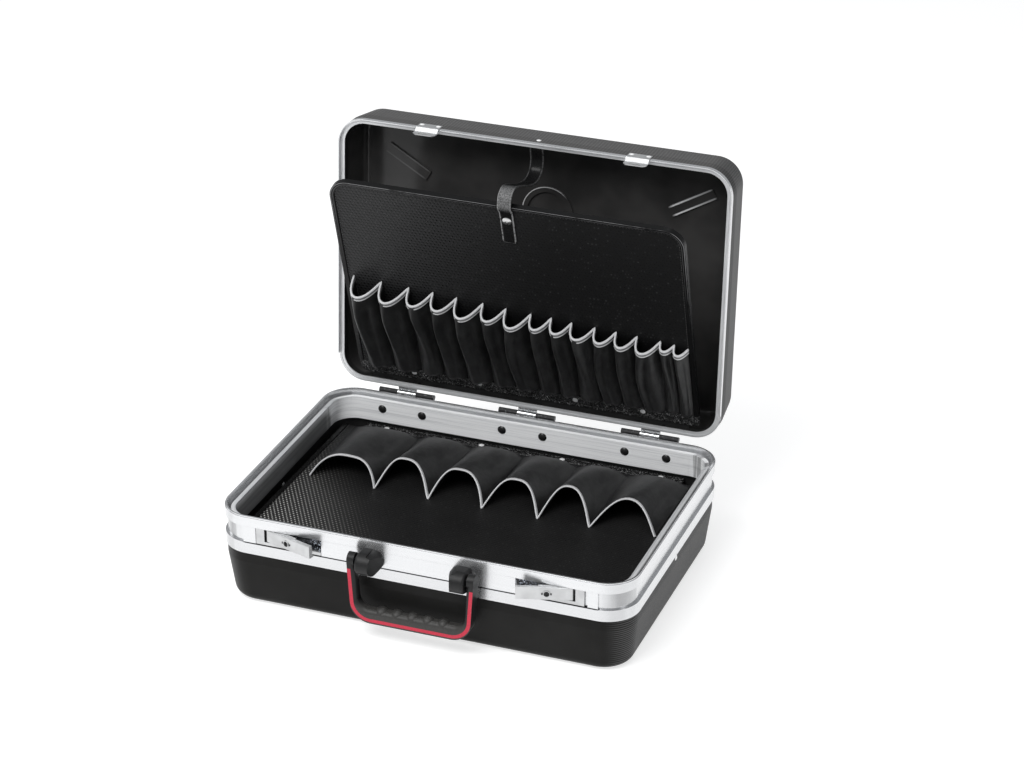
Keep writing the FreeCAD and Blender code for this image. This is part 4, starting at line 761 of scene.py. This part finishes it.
TRAY_CUSPS = [(-204.3, 8.2), (-123.3, 4.8), (-56.9, 3.9), (7.3, 4.8), (74.0, 4.9), (134.4, 7.0), (209.0, 12.5)]
TRAY_ARCHES = [(3.1, 0.93, 0.06, 14.0), (2.9, 1.30, -0.11, 33.0), (2.95, 1.02, -0.085, 31.0),
               (2.85, 1.25, -0.045, 31.0), (2.5, 1.22, -0.10, 36.0), (2.2, 1.18, -0.02, 28.0)]
TRAY_RISE = 27.0


def tray_pocket_point(index, t, v, wobble):
    """A point of a base pocket: t across, v from 0 at its mouth to 1 at the rear seam."""
    (x0, y0), (x1, y1) = TRAY_CUSPS[index], TRAY_CUSPS[index + 1]
    power, root, skew, reach = TRAY_ARCHES[index]
    c = 2 * t - 1
    rise = max(1 - abs(c) ** power, 0.0) ** root
    y_mouth = y0 + (y1 - y0) * t + reach * rise
    y = y_mouth + (141.5 - y_mouth) * v
    fall = (1 - v) ** 0.62 * 0.80 + 0.20
    ridge = math.exp(-((t - 0.42 - 0.10 * wobble) / 0.22) ** 2)
    dent = math.exp(-((t - 0.80 - 0.06 * wobble) / 0.12) ** 2)
    loose = math.sin(math.pi * min(v * 1.05, 1.0))
    h = BOARD + 0.7 + TRAY_RISE * rise * fall * (1 + (0.10 * ridge - 0.34 * dent - 0.06) * loose)
    x = x0 + (x1 - x0) * (t + skew * math.sin(math.pi * t) * (1 - v)) + wobble * 6.0 * math.sin(math.pi * t) * loose
    return x, y, h


def build_base_pockets():
    settings = bpy.context.scene.tool_case_sewing
    draw = random.Random(settings.seed + 5)
    across, deep = settings.columns + 6, settings.rows
    wobbles = [draw.uniform(-1.0, 1.0) for _ in TRAY_ARCHES]
    rows = []
    for r in range(deep + 1):
        v = (r / deep) ** 1.3
        row = []
        for i, c in columns_of(len(TRAY_ARCHES), across):
            t = 0.5 - 0.5 * math.cos(math.pi * c / across)
            row.append(on_tray(*tray_pocket_point(i, t, v, wobbles[i])))
        rows.append(row)
    cloth = cloth_of("base_pocket_cloth", rows, pocket_cloth("pocket_cloth_base", 4.1), "base_panel")
    line, back = rows[:2]
    wide = settings.base_tape_width
    outline = [(wide, 0.7), (wide * 0.66, 0.95), (wide * 0.33, 0.95), (-0.2, 0.8), (-0.7, 0.0), (-0.2, -0.8),
               (wide * 0.33, -0.9), (wide * 0.66, -0.9), (wide, -0.7)]
    sections = []
    for i, p in enumerate(line):
        along = (line[min(i + 1, len(line) - 1)] - line[max(i - 1, 0)]).normalized()
        inward = back[i] - p
        inward = (inward - along * inward.dot(along)).normalized()
        out = along.cross(inward).normalized()
        if out.z < 0:
            out = -out
        sections.append([p + inward * a + out * b for a, b in outline])
    tape = tube_along("base_pocket_tape", sections, bpy.data.materials["narrow_tape"], "base_panel", "silver_binding")
    finish_pockets(cloth, tape, ("base_panel_pockets", "base_pocket_trim"))


# Strap


def spline(points, steps):
    """Smooth line through points."""
    out = []
    padded = [points[0]] + points + [points[-1]]
    for i in range(1, len(padded) - 2):
        p0, p1, p2, p3 = padded[i - 1:i + 3]
        for k in range(steps):
            t = k / steps
            out.append(0.5 * ((2 * p1) + (p2 - p0) * t + (2 * p0 - 5 * p1 + 4 * p2 - p3) * t * t
                              + (3 * p1 - p0 - 3 * p2 + p3) * t ** 3))
    out.append(points[-1])
    return out


def build_strap():
    x0, half, thin = 4.0, 8.0, 0.9
    wall = -HALF_DEPTH + 5.1 + 2.3 + 0.18 + 1.4
    rivet = LID_FACE + 4.4 + 1.4 + 7.6
    way = [opened(x0, wall + off, z) for off, z in (
        (0.9, rivet + 7.0), (0.9, rivet), (1.0, LID_FACE + 9.0), (4.8, LID_FACE + 6.8))]
    way += [Vector((x0, y, z)) for y, z in (
        (189.0, 424.0), (184.0, 412.0), (169.0, 406.5), (148.0, 410.0), (116.0, 421.5), (98.0, 426.0), (86.0, 420.0),
        (83.5, 407.0))]
    way += [on_panel(x0, s, d) for s, d in ((281.0, 5.2), (271.0, 4.4), (254.0, 4.3), (238.0, 4.3))]
    line = spline(way, 8)
    sections = []
    across = Vector((1, 0, 0))
    outline = ((-1, -0.45), (-0.97, -1), (-0.5, -1.06), (0, -1.08), (0.5, -1.06), (0.97, -1), (1, -0.45),
               (1, 0.45), (0.97, 1), (0.5, 1.06), (0, 1.08), (-0.5, 1.06), (-0.97, 1), (-1, 0.45))
    for i, p in enumerate(line):
        along = (line[min(i + 1, len(line) - 1)] - line[max(i - 1, 0)]).normalized()
        out = across.cross(along).normalized()
        wide = half * (0.88 if i > len(line) - 3 else 1.0)
        sections.append([p + across * (a * wide) + out * (b * thin) for a, b in outline])
    count = len(outline)
    band = tube_along("strap_band", sections, bpy.data.materials["strap_hide"], "lid_panel", "strap_leather")
    layer = band.data.uv_layers[0]
    for polygon in band.data.polygons:
        for loop in polygon.loop_indices:
            index = band.data.loops[loop].vertex_index
            shift = band.data.vertices[index].co.x / MM - x0
            layer.data[loop].uv = (shift / (2 * half) + 0.5, (index // count) / len(sections))
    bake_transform(band)
    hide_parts("strap")


# Stitches from geometry nodes, and small hardware


def stitch_nodes():
    """Node group: oval stitches at an even spacing along the mesh line it is put on."""
    group = bpy.data.node_groups.new("stitch_row", "GeometryNodeTree")
    for name, kind, way in (("Geometry", "Geometry", "INPUT"), ("Spacing", "Float", "INPUT"),
                            ("Stitch Size", "Vector", "INPUT"), ("Material", "Material", "INPUT"),
                            ("Geometry", "Geometry", "OUTPUT")):
        group.interface.new_socket(name, in_out=way, socket_type="NodeSocket" + kind)
    start, end, curve, points, ball, place, real, paint = (group.nodes.new(kind) for kind in (
        "NodeGroupInput", "NodeGroupOutput", "GeometryNodeMeshToCurve", "GeometryNodeCurveToPoints",
        "GeometryNodeMeshIcoSphere", "GeometryNodeInstanceOnPoints", "GeometryNodeRealizeInstances",
        "GeometryNodeSetMaterial"))
    points.mode = "LENGTH"
    ball.inputs["Subdivisions"].default_value = 1
    ball.inputs["Radius"].default_value = 1.0
    for source, output, target, socket in (
            (start, "Geometry", curve, 0), (curve, 0, points, 0), (start, "Spacing", points, "Length"),
            (points, "Points", place, "Points"), (points, "Rotation", place, "Rotation"),
            (ball, "Mesh", place, "Instance"), (start, "Stitch Size", place, "Scale"), (place, 0, real, 0),
            (real, 0, paint, 0), (start, "Material", paint, "Material"), (paint, 0, end, 0)):
        group.links.new(source.outputs[output], target.inputs[socket])
    return group


def stitch_row(name, lines, spacing, size, material, body, slot):
    """Stitches along lines of points, made into one plain mesh."""
    points, edges = [], []
    for line in lines:
        first = len(points)
        points.extend(line)
        edges.extend((first + i, first + i + 1) for i in range(len(line) - 1))
    mesh = bpy.data.meshes.new(name)
    mesh.from_pydata([Vector(p) * MM for p in points], edges, [])
    obj = show(name, mesh)
    group = bpy.data.node_groups.get("stitch_row") or stitch_nodes()
    modifier = obj.modifiers.new("stitches", "NODES")
    modifier.node_group = group
    sockets = {item.name: item.identifier for item in group.interface.items_tree
               if item.item_type == "SOCKET" and item.in_out == "INPUT"}
    modifier[sockets["Spacing"]] = spacing * MM
    modifier[sockets["Stitch Size"]] = [v * MM for v in size]
    modifier[sockets["Material"]] = material
    settle(obj)
    for polygon in obj.data.polygons:
        polygon.use_smooth = True
    obj["case_body"] = body
    obj["case_slot"] = slot
    return seat(obj)


def edge_loop(place, half, foot, top, side, r):
    """Line up one side of a panel, round its two far corners and down the other side."""
    steps, run = 10, 20
    rise = (top - foot) * side - r
    line = [place(-half, foot + side * rise * i / run) for i in range(run)]
    for hand in (-1, 1):
        for k in range(steps + 1):
            a = (k if hand < 0 else steps - k) / steps * math.pi / 2
            line.append(place(hand * (half - r + r * math.cos(a)), top - side * (r - r * math.sin(a))))
    return line + [place(half, foot + side * rise * (run - i) / run) for i in range(1, run + 1)]


def panel_loop(inset, foot, d):
    return edge_loop(lambda x, s: on_panel(x, s, d), PANEL_HALF - inset, foot, PANEL_LENGTH - inset, 1,
                     EDGE_CORNER - inset)


def tray_loop(inset, h):
    return edge_loop(lambda x, y: on_tray(x, y, h), TRAY_HALF - inset, 146.0, inset - TRAY_FRONT, -1,
                     EDGE_CORNER - inset)


def build_stitches():
    look = bpy.context.scene.tool_case_sewing
    thread = thread_black()
    size = (0.35, 0.35, look.stitch_length / 2)
    above = BOARD + 0.1
    rows = [
        ("lid_panel_stitches", [panel_loop(6.3, 18.0, above)], "lid_panel", "panel_binding"),
        ("base_panel_stitches", [tray_loop(6.3, above)], "base_panel", "panel_binding"),
        ("lid_hem_stitches", [[on_panel(x * 4.0, s, above) for x in range(-50, 51)] for s in (3.0, 13.4)],
         "lid", "panel_binding"),
        ("base_hem_stitches", [[Vector((x * 4.0, y, TRAY_Z + above)) for x in range(-48, 49)]
                               for y in (150.2, 158.8)], "base", "panel_binding"),
    ]
    for name, lines, body, slot in rows:
        stitch_row(name, lines, look.stitch_spacing, size, thread, body, slot)


def swung(x, y, z, side):
    """A point beside a right-hand latch, carried with the lever as it stands, then put on its side."""
    dx, dy = x - LATCH_PIVOT[0], y - LATCH_PIVOT[1]
    c, s = math.cos(LATCH_REST), math.sin(LATCH_REST)
    return Vector((side * (LATCH_PIVOT[0] + dx * c - dy * s), LATCH_PIVOT[1] + dx * s + dy * c, z))


def block(corners, bevel):
    """Bevelled box mesh between two corners, as points and faces."""
    grid = bmesh.new()
    bmesh.ops.create_cube(grid, size=1.0)
    lo, hi = Vector(corners[0]), Vector(corners[1])
    for vert in grid.verts:
        vert.co = Vector([lo[i] + (hi[i] - lo[i]) * (vert.co[i] + 0.5) for i in range(3)])
    bmesh.ops.bevel(grid, geom=grid.edges[:], offset=bevel, segments=2, affect="EDGES", profile=0.6)
    grid.verts.index_update()
    points = [v.co.copy() for v in grid.verts]
    faces = [tuple(v.index for v in f.verts) for f in grid.faces]
    grid.free()
    return points, faces


def helix(centre, radius, wire, turns, length):
    """Coil spring along X as a swept tube."""
    sections = []
    round_steps, wire_steps = 14, 7
    steps = turns * round_steps
    for i in range(steps + 1):
        a = i / round_steps * 2 * math.pi
        out = Vector((0, math.cos(a), math.sin(a)))
        mid = Vector(centre) + out * radius + Vector((length * i / steps, 0, 0))
        ring = [k / wire_steps * 2 * math.pi for k in range(wire_steps)]
        sections.append([mid + out * (wire * math.cos(b)) + Vector((wire * math.sin(b), 0, 0)) for b in ring])
    return sections


def build_latch_works():
    """What shows in each latch window: a zinc catch plate, a tongue and a return spring."""
    zinc = catch_zinc()
    dark = matt_black("guide_black", 0.010, 0.35)
    for side, name in ((-1, "left"), (1, "right")):
        for kind, corners, bevel in (
                ("catch_plate_", ((112.8, -158.9, LEVER_FOOT), (172.0, -158.1, 98.4)), 0.3),
                ("catch_tongue_", ((114.0, -160.5, 92.4), (119.5, -159.7, 97.9)), 0.25)):
            points, faces = block(corners, bevel)
            flip = [(side * p.x, p.y, p.z) for p in points]
            seat(outward(piece(kind + name, flip, faces, zinc, "base", "latch_steel", shade=False)))
        coil = helix((146.0 if side > 0 else -166.0, -160.1, 96.0), 0.9, 0.22, 16, 20.0)
        seat(tube_along("latch_spring_" + name, coil, dark, "base", "latch_steel"))


# Stage


def softbox(name, where, target, size, power):
    light = bpy.data.lights.new(name, "AREA")
    light.shape = "RECTANGLE"
    light.size, light.size_y = size
    light.energy = power
    obj = show(name, light)
    obj.location = where
    obj.rotation_euler = (Vector(target) - Vector(where)).to_track_quat("-Z", "Y").to_euler()


# Degrees round, up and rolled, then millimetres
CAMERA_TURN = (20.417, 26.406, 0.235)
CAMERA_TARGET = (-116.115, 433.928, 8.578)
CAMERA_DISTANCE = 3802.95
CAMERA_LENS = 105.85


def build_camera():
    azimuth, rise, roll = (math.radians(v) for v in CAMERA_TURN)
    back = Vector((math.sin(azimuth) * math.cos(rise), -math.cos(azimuth) * math.cos(rise), math.sin(rise)))
    level = Vector((math.cos(azimuth), math.sin(azimuth), 0))
    upward = back.cross(level)
    right = level * math.cos(roll) + upward * math.sin(roll)
    up = upward * math.cos(roll) - level * math.sin(roll)
    camera = bpy.data.cameras.new("camera")
    camera.sensor_width = 36.0
    camera.lens = CAMERA_LENS
    camera.clip_end = 30.0
    obj = show("camera", camera)
    turn = Matrix((right, up, back)).transposed().to_4x4()
    place = Vector(CAMERA_TARGET) * MM + back * (CAMERA_DISTANCE * MM)
    obj.matrix_world = Matrix.Translation(place) @ turn
    bpy.context.scene.camera = obj


def build_world(strength):
    world = bpy.data.worlds.new("studio")
    world.use_nodes = True
    tree = world.node_tree
    tree.nodes.clear()
    output, seen, lit, path, choose = (tree.nodes.new("ShaderNode" + kind) for kind in (
        "OutputWorld", "Background", "Background", "LightPath", "MixShader"))
    for node, tint, power in ((seen, (1, 1, 1, 1), 1.0), (lit, (0.95, 0.975, 1.0, 1), strength)):
        node.inputs["Color"].default_value = tint
        node.inputs["Strength"].default_value = power
    tree.links.new(path.outputs["Is Camera Ray"], choose.inputs["Fac"])
    tree.links.new(lit.outputs[0], choose.inputs[1])
    tree.links.new(seen.outputs[0], choose.inputs[2])
    tree.links.new(choose.outputs[0], output.inputs["Surface"])
    bpy.context.scene.world = world


def build_floor():
    mesh = bpy.data.meshes.new("floor")
    corners = [(x, y, -0.0005) for x, y in ((-4, -4), (4, -4), (4, 5), (-4, 5))]
    mesh.from_pydata(corners, [], [(0, 1, 2, 3)])
    g = Graph("floor_white")
    x, y, z = g.position()
    cloud = g.noise(x, y, z, scale=0.002)
    g.set(color=g.mix(cloud, (0.54, 0.54, 0.54), (0.56, 0.56, 0.56)), roughness=0.9, specular=0.1)
    g.shader.inputs["Emission Color"].default_value = (1, 1, 1, 1)
    g.shader.inputs["Emission Strength"].default_value = bpy.context.scene.tool_case_stage.floor_glow
    mesh.materials.append(g.material)
    show("floor", mesh)


# Settings


class CaseLook(bpy.types.PropertyGroup):
    """Scale of the moulded and embossed patterns."""

    rib_pitch: FloatProperty(name="Rib pitch", description="Spacing of the shell's ribs, mm", default=2.7, min=1.0)
    dot_pitch: FloatProperty(name="Dot pitch", description="Spacing of the embossed dots, mm", default=4.7, min=1.0)


class CaseSewing(bpy.types.PropertyGroup):
    """Density and sizes of the sewn pieces."""

    seed: IntProperty(name="Seed", description="Fixes how the folds fall", default=11)
    columns: IntProperty(name="Columns", description="Points across one pocket", default=22, min=6)
    rows: IntProperty(name="Rows", description="Points up one pocket", default=34, min=6)
    tape_width: FloatProperty(name="Tape width", description="Bound tape on the lid pockets, mm", default=6.0)
    base_tape_width: FloatProperty(name="Base tape width", description="Tape on the base pockets, mm", default=3.4)
    stitch_spacing: FloatProperty(name="Stitch spacing", description="From stitch to stitch, mm", default=3.6)
    stitch_length: FloatProperty(name="Stitch length", description="Length of one stitch, mm", default=2.4)


class CaseStage(bpy.types.PropertyGroup):
    """Studio light."""

    world_strength: FloatProperty(name="World", description="Strength of the even light", default=0.40)
    key_power: FloatProperty(name="Key", description="Power of the top softbox, W", default=54.0, unit="POWER")
    front_power: FloatProperty(name="Front", description="Power of the front card, W", default=10.0, unit="POWER")
    side_power: FloatProperty(name="Side", description="Power of the side strips, W", default=6.0, unit="POWER")
    floor_glow: FloatProperty(name="Floor glow", description="Even light of the floor", default=0.66)


# Operators


class OBJECT_OT_case_finishes(bpy.types.Operator):
    """Give every solid its finish"""

    bl_idname = "object.case_finishes"
    bl_label = "Case finishes"

    def execute(self, context):
        metal, lid_metal = aluminium("aluminium_base"), aluminium("aluminium_lid", True)
        binding = matt_black("panel_binding", 0.0055, 0.20, 1.6, 0.10, 0.16)
        hem = crinkled("hem_cloth")
        snap = bright_metal("snap_metal", 0.62, 0.2)
        grey_tape("woven_tape", 0.72)
        grey_tape("narrow_tape", 0.30)
        strap_hide()
        finishes = {
            "base_shell": shell_plastic("shell_base"), "lid_shell": shell_plastic("shell_lid", True),
            "base_frame": metal, "lid_frame": lid_metal, "lid_panel_board": board_cover("board_lid", True),
            "base_panel_board": board_cover("board_base", False), "lid_panel_binding": lid_binding(),
            "base_panel_binding": binding, "lid_panel_hem": hem, "base_panel_hem": hem,
            "handle_inlay": red_rubber(), "strap_snap": snap,
        }
        groups = {
            "aluminium_frame": metal, "latch_steel": latch_metal(), "lock_chrome": lock_face(),
            "bright_rivet": bright_metal("bright_rivet", 0.95, 0.20, 0.2),
            "black_rivet": matt_black("black_rivet", 0.010, 0.16, 1.2, 0.03), "black_rail": matt_black("black_rail"),
            "hinge_steel": hinge_black(), "handle_black": handle_plastic(), "panel_board": hem,
            "panel_binding": binding, "snap_metal": snap,
        }
        finishes.update({node: lid_metal for node in frame["nodes"] if node.startswith("hinge_lid_leaf")})
        slots = {part["node"]: part["material_slot"] for part in frame["record"]["subparts"]}
        for node, obj in frame["nodes"].items():
            material = finishes.get(node) or groups.get(slots[node])
            if material is None:
                continue
            for slot in obj.material_slots:
                slot.material = material
            if not obj.material_slots:
                obj.data.materials.append(material)
        return {"FINISHED"}


class OBJECT_OT_case_lid_pockets(bpy.types.Operator):
    """Sew the row of pockets on the lid panel"""

    bl_idname = "object.case_lid_pockets"
    bl_label = "Lid pockets"

    def execute(self, context):
        build_lid_pockets()
        return {"FINISHED"}


class OBJECT_OT_case_base_pockets(bpy.types.Operator):
    """Sew the arched pockets on the base panel"""

    bl_idname = "object.case_base_pockets"
    bl_label = "Base pockets"

    def execute(self, context):
        build_base_pockets()
        return {"FINISHED"}


class OBJECT_OT_case_strap(bpy.types.Operator):
    """Cut the leather strap and lay it over the lid panel"""

    bl_idname = "object.case_strap"
    bl_label = "Strap"

    def execute(self, context):
        build_strap()
        return {"FINISHED"}


class OBJECT_OT_case_stitches(bpy.types.Operator):
    """Sew the seams of both panels"""

    bl_idname = "object.case_stitches"
    bl_label = "Stitches"

    def execute(self, context):
        build_stitches()
        return {"FINISHED"}


class OBJECT_OT_case_latch_works(bpy.types.Operator):
    """Add what shows inside the latch windows"""

    bl_idname = "object.case_latch_works"
    bl_label = "Latch works"

    def execute(self, context):
        build_latch_works()
        return {"FINISHED"}


class OBJECT_OT_case_stage(bpy.types.Operator):
    """Set up the floor, light and camera"""

    bl_idname = "object.case_stage"
    bl_label = "Stage"

    def execute(self, context):
        stage = context.scene.tool_case_stage
        build_floor()
        build_world(stage.world_strength)
        softbox("key_box", (-0.6, -1.5, 2.3), (0, 0, 0.15), (1.8, 1.2), stage.key_power)
        softbox("top_box", (0.2, 0.1, 2.3), (0, 0, 0.1), (1.8, 1.4), stage.front_power)
        softbox("left_strip", (-1.9, 0.3, 0.9), (0, 0.1, 0.2), (0.5, 1.6), stage.side_power)
        softbox("right_strip", (2.0, -0.5, 0.8), (0.1, 0, 0.2), (0.5, 1.4), stage.side_power * 0.5)
        build_camera()
        context.scene.view_settings.view_transform = "Standard"
        context.scene.view_settings.look = "None"
        return {"FINISHED"}


class VIEW3D_PT_tool_case(bpy.types.Panel):
    """Buttons and settings of the tool case"""

    bl_label = "Tool case"
    bl_idname = "VIEW3D_PT_tool_case"
    bl_space_type = "VIEW_3D"
    bl_region_type = "UI"
    bl_category = "Tool case"

    def draw(self, context):
        layout = self.layout
        for operator in OPERATORS:
            layout.operator(operator.bl_idname)
        for name in SETTINGS:
            group = getattr(context.scene, name)
            for key in group.__annotations__:
                layout.prop(group, key)


OPERATORS = (OBJECT_OT_case_finishes, OBJECT_OT_case_lid_pockets, OBJECT_OT_case_base_pockets,
             OBJECT_OT_case_strap, OBJECT_OT_case_stitches, OBJECT_OT_case_latch_works, OBJECT_OT_case_stage)
SETTINGS = {"tool_case_look": CaseLook, "tool_case_sewing": CaseSewing, "tool_case_stage": CaseStage}
CLASSES = tuple(SETTINGS.values()) + OPERATORS + (VIEW3D_PT_tool_case,)


def register():
    for item in CLASSES:
        bpy.utils.register_class(item)
    for name, group in SETTINGS.items():
        setattr(bpy.types.Scene, name, PointerProperty(type=group))


def unregister():
    for name in SETTINGS:
        delattr(bpy.types.Scene, name)
    for item in reversed(CLASSES):
        bpy.utils.unregister_class(item)


def main():
    register()
    for operator in OPERATORS:
        family, action = operator.bl_idname.split(".")
        if getattr(getattr(bpy.ops, family), action)() != {"FINISHED"}:
            raise RuntimeError(operator.bl_idname + " did not finish")


if __name__ == "__main__":
    main()
